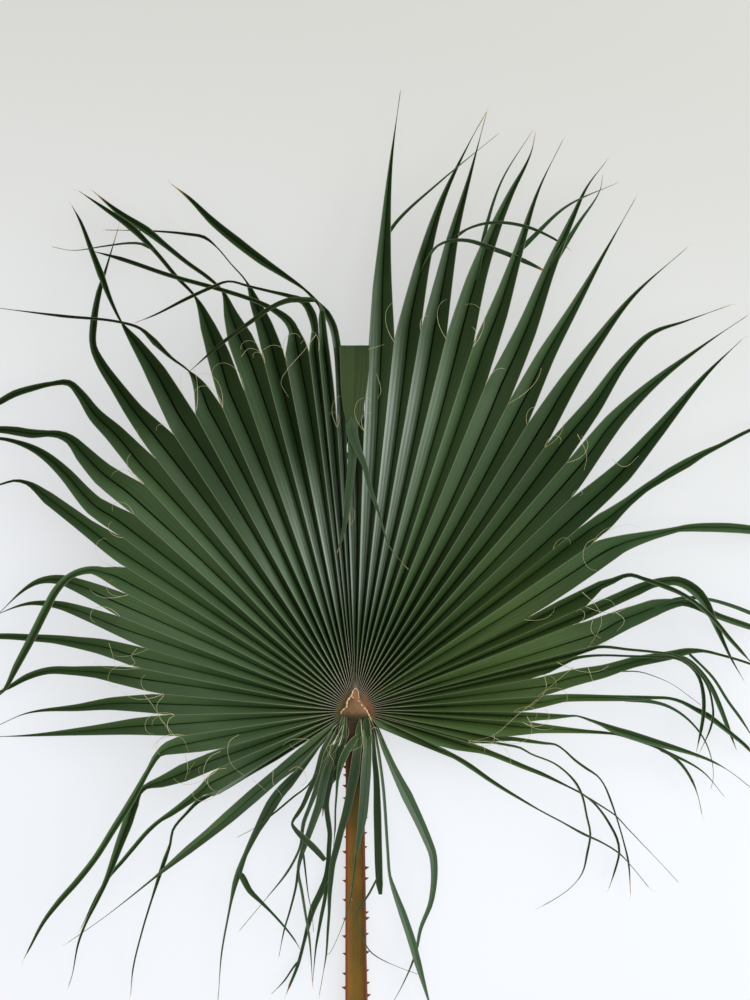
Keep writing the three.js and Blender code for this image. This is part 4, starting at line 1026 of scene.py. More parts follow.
def painted_sheen(tree, at, colour, sheen_and_wax):
    half = stretch(tree, at["across"], 0.38, 0.47, 1.0, 0.0)
    patchy = stretch(tree, at["streaks"], 0.3, 0.7, 0.15, 1.0)
    inner = stretch(tree, at["Distance"], 0.09, 0.16)
    outer = stretch(tree, at["Distance"], 0.3, 0.47, 1.0, 0.25)
    sheen_place = largest(tree, times(tree, at["middle"], inner, outer), at["hung"])
    # painted sheen: a grey mixed into the colour, which stands for the window's reflection
    return blend(tree, times(tree, half, patchy, sheen_place, sheen_and_wax), colour, SHEEN_GREY)


print("painted sheen ready")

# %% Painted shade in the valleys and on the halves that face away from the light
FOLD_SHADE = (0.004, 0.009, 0.003)
CREASE_SHADE = (0.002, 0.004, 0.001)


def painted_fold_shade(tree, at, colour):
    folded = largest(tree, stretch(tree, at["Distance"], 0.08, 0.17, 1.0, 0.2), at["Wide"])
    valley_shade = times(tree, folded, stretch(tree, at["rib"], 0.5, 5.0, 0.75, 0.0),
                  stretch(tree, at["Distance"], 0.08, 0.3, 1.0, 0.2))
    upper = times(tree, at["Upper"], stretch(tree, at["Distance"], 0.1, 0.32, 0.75, 0.0))
    averted_shade = times(tree, stretch(tree, at["across"], 0.47, 0.53), largest(tree, upper, at["hung"]))
    # painted shade: a nearly black line down each valley
    crease = times(tree, folded, stretch(tree, at["rib"], 0.6, 1.7, 0.95, 0.0),
                   stretch(tree, at["Distance"], 0.25, 0.42, 1.0, 0.55))
    for mask, shade in ((valley_shade, FOLD_SHADE), (averted_shade, FOLD_SHADE), (crease, CREASE_SHADE)):
        colour = blend(tree, mask, colour, shade)
    return colour


print("valleys ready")

# %% Pale ridges with a painted highlight, brown skin at the hub, and torn edges
HUB_CREST = (0.62, 0.54, 0.4)
SKIN_LEFT = (0.16, 0.115, 0.03)
SKIN_RIGHT = (0.3, 0.12, 0.05)
SPIKE_TAN = (0.42, 0.3, 0.17)
TORN_EDGE = (0.24, 0.22, 0.1)
APEX_X = 0.002


def ridged(tree, at, colour, crest_and_highlight_colour):
    crest_tone = blend(tree, stretch(tree, at["Distance"], 0.03, 0.12, 1.0, 0.0), crest_and_highlight_colour, HUB_CREST)
    finer = times(tree, at["crest"], stretch(tree, at["Distance"], 0.02, 0.08, 2.0, 1.0))
    # the pale line along each ridge is partly its own paler colour and partly a painted highlight on the
    # crest edge
    highlit_crests = blend(tree, stretch(tree, finer, 0.15, 0.65, 0.8, 0.0), colour, crest_tone)
    skin_tone = blend(tree, stretch(tree, at["Side"], -0.006, 0.008), SKIN_LEFT, SKIN_RIGHT)
    off_apex = calculate(tree, "ABSOLUTE", calculate(tree, "SUBTRACT", at["Side"], APEX_X))
    skinned = times(tree, stretch(tree, at["root"], 1.0, 12.0, 0.95, 0.0),
                    stretch(tree, off_apex, 0.005, 0.012))
    spike = times(tree, stretch(tree, off_apex, 0.001, 0.004, 0.8, 0.0), at["Upper"],
                  stretch(tree, at["root"], 1.0, 14.0, 1.0, 0.0))
    ribbed = blend(tree, spike, blend(tree, skinned, highlit_crests, skin_tone), SPIKE_TAN)
    return blend(tree, times(tree, at["edge"], 0.2), ribbed, TORN_EDGE)


print("ridges ready")

# %% Leaf finish for both sides and for torn strips
def leaf_finish(name, deep, light, crest_and_highlight_colour, roughness, sheen_and_wax):
    material, tree, shader = new_finish(name, 0.14, Roughness=roughness, Coat_Roughness=0.34)
    at = leaf_reads(tree)
    greens = leaf_greens(tree, at, deep, light)
    fresh = ridged(tree, at, painted_fold_shade(tree, at, painted_sheen(tree, at, greens, sheen_and_wax)), crest_and_highlight_colour)
    fibrous = times(tree, calculate(tree, "SUBTRACT", at["veins"], 0.5), times(tree, at["dry"], 0.7))
    tips = add_node(tree, "ShaderNodeGroup", node_tree=drying)
    tree.links.new(fresh, tips.inputs["Fresh"])
    tree.links.new(calculate(tree, "ADD", at["dry"], fibrous), tips.inputs["Dryness"])
    tree.links.new(tips.outputs["Colour"], shader.inputs["Base Color"])

    # Gloss, less of it down in the valleys
    shine = calculate(tree, "ADD", times(tree, at["middle"], 0.45), times(tree, at["bright"], 0.35))
    gloss = times(tree, stretch(tree, at["rib"], 0.8, 4.0), shine, sheen_and_wax)
    tree.links.new(gloss, shader.inputs["Coat Weight"])
    rough = stretch(tree, at["cloud"], 0.3, 0.75, roughness - 0.07, roughness + 0.1)
    tree.links.new(rough, shader.inputs["Roughness"])
    emboss(tree, shader, at["veins"], 0.35, 0.4)
    return material


leaf_top = leaf_finish("leaf_top", (0.042, 0.08, 0.025), (0.07, 0.125, 0.045), (0.17, 0.21, 0.13), 0.42, 0.9)
leaf_under = leaf_finish("leaf_under", (0.04, 0.068, 0.016), (0.064, 0.098, 0.025), (0.12, 0.13, 0.06),
                         0.55, 0.15)
leaf_strip = leaf_finish("leaf_strip", (0.03, 0.068, 0.022), (0.055, 0.11, 0.04), (0.12, 0.17, 0.09),
                         0.45, 0.2)
print("finishes", leaf_top.name, leaf_under.name, leaf_strip.name)

# %% [markdown]
# ## The fan
# All the segments are laid into one sheet, and the points that neighbours share along the ridges are welded.
# Every segment gets a shade of its own, and its tip dries from a place of its own. Blunt ends don't dry. The
# result stands in for the plain solid blade.

# %% Lay and weld the fan
BLUNT = ("L0", "H3", "HL4")
NEVER_DRY = 1
FAN_THICKNESS = 0.8

chance = random.Random(11)
fan = new_sheet()
for item, rows in zip(SEGMENTS, ROWS):
    shade = chance.uniform(-0.5, 0.5) if item["name"].startswith("H") else chance.random()
    dry_from = NEVER_DRY if item["name"] in BLUNT else chance.uniform(0.9, 0.97)
    lay_strip(fan, rows, shade, dry_from)
bmesh.ops.remove_doubles(fan, verts=fan.verts[:], dist=WELD)
blade = thicken("fan", fan, FAN_THICKNESS, (leaf_top, leaf_under))
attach(blade, "root")
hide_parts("blade")

# %% [markdown]
# ## Torn halves and strands
# Many tips have torn lengthwise, and the strands wander off on their own. Each is a narrow strip that grows
# out of its segment's rib, so it is listed like a segment, with the segment or strand that it grows from. The
# first one is special: the middle segment's tip is folded back over the fan, so it shows its underside, and
# it has torn in two.

# %% Strands that the solid has too
STRANDS = []


def strand(parent, width, end, lift, path, name="", turned=False, roll=0, fresh=False):
    STRANDS.append(dict(parent=parent, width=width, end=end, lift=lift, name=name, turned=turned, fresh=fresh,
                        roll=math.radians(roll), **listed(path)))


strand("L0", 36, 58, 3, [(1, 432), (1, 405, 35), (0, 380, 31), (-0.5, 355, 24), (-1, 338, 15), (-2, 322)],
       name="fold", turned=True)
strand("fold", 12, 54, 4, [(-1, 345), (-1, 330, 12), (-1.5, 305, 11), (-3.5, 280, 9.5), (-7, 250, 8.5),
        (-10.5, 220, 5.5), (-15, 200, 3.5), (-20, 184)])
strand("fold", 10, 54, 6, [(-1, 350), (-4, 338, 12), (-1.5, 325, 13), (3, 312, 10), (8, 300, 8),
        (13, 288, 6.5), (17, 270, 6), (21.5, 255, 5), (27, 240, 4), (31, 228, 3), (36, 210, 2),
        (42, 192, 1.5), (52, 179), (65, 164)])
strand("L27", 8, 12, 6, [(-138.5, -200), (-132, -212, 8), (-126, -223, 7), (-112, -237, 4.5),
        (-100, -249, 3.2), (-84, -267, 2.6), (-72, -283, 2), (-65, -295)])
strand("L7", 4, 8, 8, [(-240, 547), (-255, 555), (-270, 556), (-300, 552.5), (-340, 548), (-365, 553)])
strand("R0", 5, 12, 4, [(37, 560), (50, 580), (100, 627), (175, 690)])
strand("R1", 8, 16, 14, [(80, 520), (100, 552, 4), (130, 559, 6), (170, 548, 8), (205, 535, 8),
        (231, 523, 3)], roll=50)
strand("R2", 8, 14, 14, [(118, 560), (135, 572, 4), (165, 580, 5), (205, 576, 5.5), (240, 562, 4),
        (262, 548)], roll=50)
strand("R3", 7, 10, 4, [(146, 510), (160, 580), (178, 632), (216, 694)])
strand("R4", 7, 10, 4, [(197, 545), (215, 563), (255, 600), (320, 631)])
strand("R5", 9, 8, 2, [(235, 525), (270, 580), (297, 622), (300, 640)])
strand("R15", 5, 9, 6, [(360, 118), (385, 128, 4), (405, 130, 4), (425, 128, 4), (445, 123, 4.5),
        (475, 112, 5), (510, 95)])
strand("R18", 6, 6, 4, [(380, 60.5), (400, 56, 4), (415, 43, 4.5), (430, 22, 5.5), (440, 0, 6),
        (450, -25, 5), (462, -55)])
strand("R18", 4, 6, 10, [(400, 65), (416, 50, 3), (432, 33, 3.4), (450, 5, 3.5), (465, -15, 3.5),
        (485, -45)])
strand("R19", 6, 5, 0, [(310, 9), (380, -2), (420, -38), (434, -85), (431, -102)])
strand("R21", 5, 5, 0, [(365, -48), (420, -80), (448, -112)])
strand("R24", 2.4, 5, 4, [(275, -107), (290, -116.5), (305, -126), (315, -133), (330, -149), (350, -170),
        (370, -191), (392, -215)])
strand("H3", 2.6, 6, 7, [(30, -205), (18, -227, 2.6), (4.5, -248, 2.2), (3, -256, 1.6), (8, -275, 1.5),
        (18, -295, 1.5), (27, -303, 1.4), (55, -317), (78, -326)])
strand("H5", 9, 9, 12, [(7, -34), (0, -41, 8), (-6, -49, 9), (-11, -58, 9.5), (-14.5, -66, 9),
        (-17.5, -76, 7), (-20, -90, 4), (-21, -105, 3), (-22.5, -125, 2.5), (-23, -150, 2.2),
        (-25, -170)], name="cross", roll=-25)
print(len(STRANDS), "strands")

# %% Finer strips, some of them fresh ones at the hub
strand("HL2", 4, 6, 4, [(-67, -195), (-70, -218, 3), (-78, -250, 2.4), (-84, -270, 2), (-91, -305)])
strand("HL2", 3, 5, 4, [(-62, -172), (-58, -205), (-55, -230), (-51, -250), (-49, -275)])
strand("HL1", 4, 5, 4, [(-32, -205), (-35, -232, 4.5), (-39, -252, 4.5), (-43, -274, 3.5), (-46, -292, 2.4),
        (-50, -335)])
strand("HL1", 3, 3, 2, [(-66, -306), (-74, -318, 2.4), (-84, -333, 2), (-100, -350)])
strand("HL4", 3, 8, 6, [(-43, -78), (-56, -96, 2), (-72, -108.5, 2.4), (-93, -126.5, 2.4), (-120, -148),
        (-141, -160)])
strand("H4", 3, 12, 4, [(3, -176), (-5, -235), (-12, -260), (-22, -285), (-30, -300), (-34, -302)])
strand("cross", 8, 14, 2, [(-16, -70), (-20.5, -79, 8), (-24, -88, 6), (-27.5, -98)], roll=20)
strand("HL2", 8, 12, 2, [(-22, -46), (-30, -60, 6), (-37, -76, 8), (-43, -95, 7), (-50, -115, 5),
        (-56, -135)], roll=25)
strand("HL1", 8, 12, 2, [(-13, -44), (-20, -57, 6), (-26, -75, 9), (-30, -92, 8), (-36, -112, 5),
        (-38, -135)], roll=-20)
strand("HL1", 6, 27, 1, [(-13, -38), (-12, -28, 6), (-11, -20, 5), (-10, -14, 2.5)], fresh=True)
strand("HL2", 6, 27, 1, [(-17, -38), (-15.5, -28, 6), (-14, -19, 5), (-13, -12, 2.5)], fresh=True)
strand("H5", 8, 27, 1, [(6, -40), (6, -30, 8), (7, -22, 5), (8, -16, 2)], fresh=True)
strand("H4", 9, 27, 1, [(16.5, -40), (16, -29, 9), (15.5, -20, 8), (15, -14, 4)], roll=-20, fresh=True)
strand("L0", 7, 44, 0, [(-2, 285), (-8, 300, 8), (-9.5, 325, 8), (-11.5, 350, 6), (-13, 385)])
strand("R18", 2, 20, 2, [(300, 42), (320, 41.5, 1.8), (342, 41), (362, 35), (382, 26), (402, 12), (418, 0)])
print(len(STRANDS), "strands and strips")

# %% Rows of a strand
STRAND_PLEAT = 8
STRAND_TAPER = 1.1
STRAND_TIP_HALF = 0.3
STRAND_LIFT = 0.4
STRAND_LENGTH = 200
ROOT_WIDTH = 0.35
FULL_STRAND_AT = 0.07
STRAND_THICKNESS = 0.7

ribs = {item["name"]: rows[JOINED_ROWS:] for item, rows in zip(SEGMENTS, ROWS)}


def strand_rows(item):
    first = item["path"][0]
    root = min(ribs[item["parent"]], key=lambda row: (row["rib"].xy - first).length)
    path = [root["rib"].xy] + item["path"][1:]

    def narrowing(share):
        return item["width"] / 2 * (1 - share) ** STRAND_TAPER

    rows = []
    for spot, heading, share, stage in trail(path, direction(path[0], path[1])):
        half = max(half_at(item, stage, share, narrowing), STRAND_TIP_HALF)
        half *= 1 if item["turned"] else lerp(ROOT_WIDTH, 1, ease(share, 0, FULL_STRAND_AT))
        height = fall(root["rib"].z + STRAND_LIFT, item["end"], item["lift"], share)
        left, rib, right = folded_row(spot, height, heading, half, STRAND_PLEAT, item["roll"])
        rows.append(dict(left=left, rib=rib, right=right, half=half,
                         reach=root["reach"] + share * STRAND_LENGTH, free=max(share, 0.01),
                         root=FAR_FROM_HUB, crease=0.0))
    return rows


torn = new_sheet()
for item in STRANDS:
    rows = strand_rows(item)
    ribs[item["name"]] = rows
    dry_from = NEVER_DRY if item["fresh"] else chance.uniform(0.88, 0.95)
    lay_strip(torn, rows, chance.uniform(-0.5, 0.6), dry_from, item["turned"])
strands = thicken("strands", torn, STRAND_THICKNESS, (leaf_strip, leaf_under))
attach(strands, "root")
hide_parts("blade")

# %% [markdown]
# ## Stalk
# The stalk is flat below, hollowed a little on top, and has two sharp margins with small hooked thorns. Under
# the fan it carries on as a short rib. A grid is wrapped round its sections and welded along the seam, and
# both ends are closed. That follows the taper better than a stretched cube would.

# %% Sections of the stalk
STALK = [(42, 0, 4, 22, 25.2), (28, 0, 8, 18, 24.9), (8, 0, 15, 14, 24.5), (-20, 0.4, 22, 11.5, 24.3),
         (-55, 0.8, 22.5, 9.5, 22), (-100, 1.2, 22.5, 7.5, 19), (-160, 1.5, 23, 4.5, 17),
         (-230, 1.8, 24.5, 1.5, 15.8), (-300, 2.2, 25.5, 0, 15.2), (-370, 3, 27, 0, 14.8),
         (-444, 3.4, 28, 0, 14.5)]
OUTLINE = [(-0.2, 0), (0.2, 0), (0.4, 0.26), (0.49, 0.6), (0.5, 0.82), (0.42, 1), (0.18, 0.93), (-0.18, 0.93),
           (-0.42, 1), (-0.5, 0.82), (-0.49, 0.6), (-0.4, 0.26)]


def stalk_at(y):
    for above, below in zip(STALK, STALK[1:]):
        if y >= below[0]:
            share = (above[0] - y) / (above[0] - below[0])
            return [lerp(first, second, share) for first, second in zip(above[1:], below[1:])]
    return list(STALK[-1][1:])


def round_loop(points, share):
    count = len(points)
    number = math.floor(share * count) % count
    before, here, after, later = [Vector(points[(number + step) % count]) for step in (-1, 0, 1, 2)]
    return bend(here, after, (after - before) / 2, (later - here) / 2, share * count % 1)


def stalk_outline(share):
    along = share * len(OUTLINE)
    return round_loop(OUTLINE, share) if along >= 1 else lerp(Vector(OUTLINE[0]), Vector(OUTLINE[1]), along)


print("stalk is", round(stalk_at(-372)[1], 1), "mm wide near its cut end")

# %% Wrap the stalk
AROUND = 60
ALONG = 120
MARGIN_FROM, MARGIN_TO = 0.2, 0.5


def close_up(shape):
    for face in shape.faces:
        face.smooth = True
    bmesh.ops.remove_doubles(shape, verts=shape.verts[:], dist=WELD)
    bmesh.ops.holes_fill(shape, edges=[edge for edge in shape.edges if edge.is_boundary], sides=0)
    bmesh.ops.recalc_face_normals(shape, faces=shape.faces[:])


stem = bmesh.new()
stem.verts.layers.float.new("margin")
stem.loops.layers.uv.new("UVMap")
grid = bmesh.ops.create_grid(stem, x_segments=AROUND, y_segments=ALONG, size=1.0)
unrolled = {}
for point in grid["verts"]:
    turn = (point.co.x + 1) / 2
    y = lerp(STALK[0][0], STALK[-1][0], (point.co.y + 1) / 2)
    middle, width, under, top = stalk_at(y)
    across, up = stalk_outline(turn % 1.0)
    unrolled[point] = (turn, -y * MM)
    point[stem.verts.layers.float["margin"]] = ease(abs(across), MARGIN_FROM, MARGIN_TO)
    point.co = place(middle + across * width, y, lerp(under, top, up))
set_uv(stem, stem.faces, unrolled)
close_up(stem)
print(len(stem.faces), "faces on the stalk")

# %% [markdown]
# ## Thorns
# Small thorns stand along both margins, a little closer towards the fan. Each is a cone whose sides are cut
# into rings, so that it can be bent into a hook, and its base is sunk into the rind.

# %% Thorns
THORNS_LEFT = (-66, -75, -85, -98, -113, -130, -145, -160, -178, -197, -213, -236, -259, -280, -301, -325,
               -342, -372, -398, -420)
THORNS_RIGHT = (-137, -155, -172, -197, -210, -251, -258, -277, -299, -321, -336, -351, -378, -402, -425)
THORN_LENGTH = 5.6
THORN_RADIUS = 2.9
THORN_POINT = 0.08
THORN_SIDES = 10
THORN_SINK = 1.8
THORN_FLATNESS = 0.6
THORN_LEVEL = 0.7
HOOK = 0.05


def merge(target, shape):
    mesh = made_mesh("part", shape)
    target.from_mesh(mesh)
    bpy.data.meshes.remove(mesh)


def thorn(y, side):
    middle, width, under, top = stalk_at(y)
    size = chance.uniform(0.8, 1.2)
    spike = bmesh.new()
    layer = spike.verts.layers.float.new("margin")
    bmesh.ops.create_cone(spike, cap_ends=True, segments=THORN_SIDES, radius1=THORN_RADIUS,
                          radius2=THORN_POINT, depth=THORN_LENGTH)
    sides = [edge for edge in spike.edges if abs(edge.verts[0].co.z - edge.verts[1].co.z) > 1]
    bmesh.ops.subdivide_edges(spike, edges=sides, cuts=3)
    for point in spike.verts:
        rise = point.co.z + THORN_LENGTH / 2
        x = middle + side * (width / 2 - THORN_SINK + rise * size)
        height = lerp(under, top, THORN_LEVEL) + point.co.y * THORN_FLATNESS * size
        point[layer] = 1.0 + rise / THORN_LENGTH
        point.co = place(x, y + point.co.x * size + HOOK * rise ** 2, height)
    for face in spike.faces:
        face.smooth = True
    bmesh.ops.recalc_face_normals(spike, faces=spike.faces[:])
    merge(stem, spike)


for side, thorns in ((-1, THORNS_LEFT), (1, THORNS_RIGHT)):
    for y in thorns:
        thorn(y, side)
print(len(THORNS_LEFT) + len(THORNS_RIGHT), "thorns")

# %% [markdown]
# ## Stalk finish
# The stalk's rind is smooth, with fine lengthwise fibres: olive and ochre in the middle, orange-brown towards
# the margins and on the thorns, whose points are darker. Where it runs under the fan it lies in deep shade,
# and a mask along its length helps the light with that.

# %% Stalk finish
OCHRES = ((0.14, 0.085, 0.012), (0.22, 0.112, 0.013))
FIBRE = (0.27, 0.15, 0.02)
RUDDY_LEFT = (0.33, 0.09, 0.014)
RUDDY_RIGHT = (0.13, 0.04, 0.01)
THORN_TIP = (0.13, 0.036, 0.014)
UNDER_FAN = (0.03, 0.015, 0.006)
STALK_FIBRES = 60

rind, tree, shader = new_finish("stalk_rind", 0.22, Roughness=0.42)
where = add_node(tree, "ShaderNodeTexCoord").outputs
unrolled = parts_of(tree, where["UV"])
lines = vein_lines(tree, unrolled, STALK_FIBRES)
margin = kept_mark(tree, "margin")
sideways = parts_of(tree, where["Object"])["X"]
middle = blend(tree, stretch(tree, clouds(tree, where["Object"], 30.0, 4.0), 0.35, 0.7), *OCHRES)
fibred = blend(tree, stretch(tree, lines, 0.35, 0.75, 0.0, 0.4), middle, FIBRE)
ruddy = blend(tree, stretch(tree, sideways, -0.008, 0.012), RUDDY_LEFT, RUDDY_RIGHT)
sides = blend(tree, stretch(tree, margin, 0.05, 0.85), fibred, ruddy)
shaded = blend(tree, stretch(tree, unrolled["Y"], 0.05, 0.14, 0.8, 0.0), sides, UNDER_FAN)
tipped = blend(tree, stretch(tree, margin, 1.5, 2.0), ruddy, THORN_TIP)
thorny = blend(tree, stretch(tree, margin, 1.1, 1.3), shaded, tipped)
tree.links.new(thorny, shader.inputs["Base Color"])
emboss(tree, shader, lines, 0.3, 0.5)
print("finish", rind.name)

# %% Keep the stalk
SHARP_EDGE = math.radians(50)


def keep(name, shape, material, node):
    mesh = made_mesh(name, shape)
    mesh.materials.append(material)
    mesh.set_sharp_from_angle(angle=SHARP_EDGE)
    piece = add_object(name, mesh)
    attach(piece, "root")
    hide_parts(node)
    print(name, len(mesh.polygons), "faces")


keep("stalk", stem, rind, "petiole")

# %% [markdown]
# ## Flap at the hub
# On top of the hub sits a small flap of tan skin, the hastula: a low mound over an uneven outline. Rings of
# the outline, each smaller and higher than the last, come from one grid. Two torn cream edges run down from
# its point like the two legs of a letter A. A thin skin lies below it, as wide as the line where the ribs
# begin, and closes the view down to the surface.

# %% Mound of the flap
FLAP = [(2, 22), (-2, 14), (-6, 6), (-9, -1), (-15, -6), (-15, -10), (-9, -14), (0, -17), (10, -15),
        (18, -12), (16, -6), (13, 0), (9, 6), (6, 12)]
FLAP_RINGS = [(0.45, -0.4), (0.8, -0.2), (0.97, 0.1), (1.0, 0.6), (0.95, 1.0), (0.88, 1.4), (0.8, 1.8),
              (0.7, 2.2), (0.55, 2.7), (0.4, 3.0), (0.22, 3.2), (0.03, 3.2)]
FLAP_MIDDLE = Vector((0, -2))
FLAP_SEAT = 27.4
FLAP_AROUND = 112
POINT_FLATNESS = 0.3
WRINKLE_HEIGHT = 0.08
WRINKLE_TURNS = 75


def new_shape():
    shape = bmesh.new()
    shape.verts.layers.float.new("rim")
    return shape


mound = new_shape()
grid = bmesh.ops.create_grid(mound, x_segments=FLAP_AROUND, y_segments=len(FLAP_RINGS) - 1, size=1.0)
for point in grid["verts"]:
    turn = (point.co.x + 1) / 2 % 1.0
    size, rise = nearest(FLAP_RINGS, point.co.y)
    spot = lerp(FLAP_MIDDLE, round_loop(FLAP, turn), size)
    wrinkle = WRINKLE_HEIGHT * math.sin(turn * WRINKLE_TURNS) * ease(size, 0.3, 0.8)
    point.co = place(*spot, FLAP_SEAT + rise * lerp(1, POINT_FLATNESS, ease(spot.y, 4, 12)) + wrinkle)
close_up(mound)
print(len(mound.faces), "faces on the mound")

# %% Torn edges of the flap
EDGE_SIDES = 10
EDGE_SPACING = 0.7
EDGE_LIFT = 1.1
EDGE_FLATNESS = 0.9
EDGE_END = 0.25
RAGGED = 0.3


def torn_edge(points, thickness):
    path = [Vector(point) for point in points]
    marks = trail(path, direction(path[0], path[1]), EDGE_SPACING)
    tube = new_shape()
    grid = bmesh.ops.create_grid(tube, x_segments=EDGE_SIDES, y_segments=len(marks) - 1, size=1.0)
    for point in grid["verts"]:
        turn = (point.co.x + 1) * math.pi
        number = nearest(range(len(marks)), point.co.y)
        spot, heading, share, stage = marks[number]
        swelling = lerp(EDGE_END, 1, math.sin(math.pi * share) ** 0.5)
        size = thickness * swelling * (1 + RAGGED * math.sin(number * 0.9))
        spot = spot + Vector((-heading.y, heading.x)) * size * math.cos(turn)
        rise = EDGE_LIFT + EDGE_FLATNESS * size * math.sin(turn) + RAGGED * math.sin(number * 0.6)
        point[tube.verts.layers.float["rim"]] = 1.0
        point.co = place(*spot, FLAP_SEAT + rise)
    close_up(tube)
    merge(mound, tube)


torn_edge([(2, 21.2), (-1.4, 17.5), (-3.2, 12), (-6.5, 8), (-8.8, 3), (-9, -1.4), (-12.5, -4.6),
           (-15.5, -7.5), (-15.8, -11)], 1.1)
torn_edge([(-3, 11), (0, 8.8), (3.8, 7), (8, 2), (10.5, -2), (14.5, -5), (16.5, -9), (19, -14),
           (21, -19)], 0.95)
torn_edge([(2.4, 21), (4.4, 18), (5.4, 12), (5, 8)], 0.55)
print(len(mound.faces), "faces with the torn edges")

# %% Skin below the flap
SKIN_POINTS = 57
SKIN_SPREAD = 1.04
SKIN_HEIGHT = 25.3

plate = new_shape()
disc = bmesh.ops.create_circle(plate, cap_ends=True, segments=SKIN_POINTS, radius=1.0)
for number, point in enumerate(disc["verts"]):
    point.co = place(*hub_edge(number / (SKIN_POINTS - 1)) * SKIN_SPREAD, SKIN_HEIGHT)
close_up(plate)
merge(mound, plate)
print(len(mound.faces), "faces with the skin")

# %% [markdown]
# ## Finish of the flap
# The skin is dry and matte: tan, more orange at its point, and darkened nearly to black with painted shade
# where it dips under its lower rim, on the skin below it as well.
# The torn edges are cream, and a mark on their points tells the finish where they are.

# %% Finish of the flap
TANS = ((0.22, 0.115, 0.05), (0.29, 0.16, 0.075))
POINT_ORANGE = (0.38, 0.17, 0.07)
RIM_SHADE = (0.045, 0.036, 0.012)
CREAM = (0.72, 0.55, 0.34)

skin, tree, shader = new_finish("flap_skin", 0.25, Roughness=0.6)
where = add_node(tree, "ShaderNodeTexCoord").outputs
height = parts_of(tree, from_hub(tree, where["Object"]))["Y"]
grain = clouds(tree, where["Object"], 160.0, 4.0)
tan = blend(tree, stretch(tree, grain, 0.35, 0.7), *TANS)
upper = blend(tree, stretch(tree, height, 0.006, 0.013), tan, POINT_ORANGE)
# painted shade: the lower part of the flap and of the skin below it goes nearly black
lower = blend(tree, stretch(tree, height, -0.015, -0.005, 0.95, 0.0), upper, RIM_SHADE)
tree.links.new(blend(tree, kept_mark(tree, "rim"), lower, CREAM), shader.inputs["Base Color"])
emboss(tree, shader, grain, 0.3, 0.5)
keep("flap", mound, skin, "hastula")

# %% [markdown]
# ## Threads
# Where the segments came apart, fibres of their edges are left: fine cream threads that arch over and curl.
# Hairs are drawn as curves with a round section, all in one object, and then made a mesh. A seeded chance
# gives each thread its own length and curl, so the script makes the same threads every time.

# %% Draw threads
THREAD_TAPER = 0.6
THREAD_SPACING = 2.5
FEWEST_POINTS = 8
ROOM = 1
FIRST_CURL = 0.3
CURL_GROWTH = 1.6
ARCH_SHARE = 0.85
LOW = [value / MM for value in (cad_low - HUB)]
HIGH = [value / MM for value in (cad_high - HUB)]

threads_curve = bpy.data.curves.new("threads", "CURVE")
threads_curve.dimensions = "3D"
threads_curve.bevel_depth = 1.0
threads_curve.bevel_resolution = 0


def thread(spots, radius):
    line = threads_curve.splines.new("POLY")
    line.points.add(len(spots) - 1)
    for number, (point, spot) in enumerate(zip(line.points, spots)):
        held = [clamp(value, low + ROOM, high - ROOM) for value, low, high in zip(spot, LOW, HIGH)]
        point.co = (*place(*held), 1.0)
        point.radius = radius * MM * (1 - THREAD_TAPER * number / len(spots))


def curl(start, heading, length, turning, arch, radius):
    spots, angle = [Vector(start)], heading
    count = max(FEWEST_POINTS, round(length / THREAD_SPACING))
    for step in range(1, count + 1):
        share = step / count
        angle += turning * (FIRST_CURL + CURL_GROWTH * share * share) / count
        forward = Vector((math.cos(angle), math.sin(angle), 0.0)) * length / count
        spots.append(spots[-1] + forward)
        spots[-1].z = max(start[2] + arch * math.sin(math.pi * share * ARCH_SHARE), ROOM)
    thread(spots, radius)


print("threads may reach from", [round(value) for value in LOW], "to", [round(value) for value in HIGH])

# %% Threads at the splits
THREADED = SPLITS[6:57]
SPLIT_LIFT = 0.3

for split in THREADED:
    outward = math.atan2(split.y, split.x)
    for count in range(chance.choice((1, 1, 2))):
        side = chance.choice((-1, 1))
        curl((split.x, split.y, ridge_height(split) + SPLIT_LIFT), outward + side * chance.uniform(0.1, 0.9),
             chance.uniform(22, 70), -side * chance.uniform(0.8, 4.5), chance.uniform(1, 6),
             chance.uniform(0.22, 0.34))
print(len(threads_curve.splines), "threads at the splits")

# %% Threads that stand out, through places given one by one
def loose(spots, radius=0.26):
    path = [Vector(spot[:2]) for spot in spots]
    drawn = []
    for spot, heading, share, stage in trail(path, direction(path[0], path[1]), THREAD_SPACING):
        number = min(int(stage), len(spots) - 2)
        drawn.append((*spot, lerp(spots[number][2], spots[number + 1][2], stage - number)))
    thread(drawn, radius)


loose([(8, -18, 29), (9, -30, 31), (10, -40, 31), (9, -48, 31), (5, -51, 30),
       (-3, -54, 30), (-7, -56, 29)], 0.34)
loose([(8, -19, 29), (10, -35, 31), (11, -50, 32), (12.5, -62, 31)])
loose([(19, -29, 30), (26, -26, 31), (31, -35, 30), (34, -40, 29)])
loose([(-14, -24, 29), (-22, -40, 30), (-28, -48, 31), (-30, -58, 31), (-40, -70, 28)], 0.34)
loose([(-30, -58, 31), (-25, -67, 29), (-24, -80, 27)])
loose([(-12, -22, 29), (-16, -38, 31), (-24, -46, 31), (-33, -50, 31), (-30, -58, 30)])
loose([(-135, 418, 62), (-125, 428, 64), (-110, 422, 65), (-105, 410, 63)])
loose([(-108, 427, 62), (-98, 432, 64), (-85, 428, 65), (-80, 413, 63)])
loose([(-45, 445, 66), (-60, 425, 68), (-80, 402, 68), (-87, 388, 66), (-78, 370, 64)])
loose([(17, 427, 64), (27, 430, 65), (36, 433, 64)])
loose([(27, 398, 64), (31, 385, 65), (32, 375, 65), (28, 368, 64)])
print(len(threads_curve.splines), "threads so far")

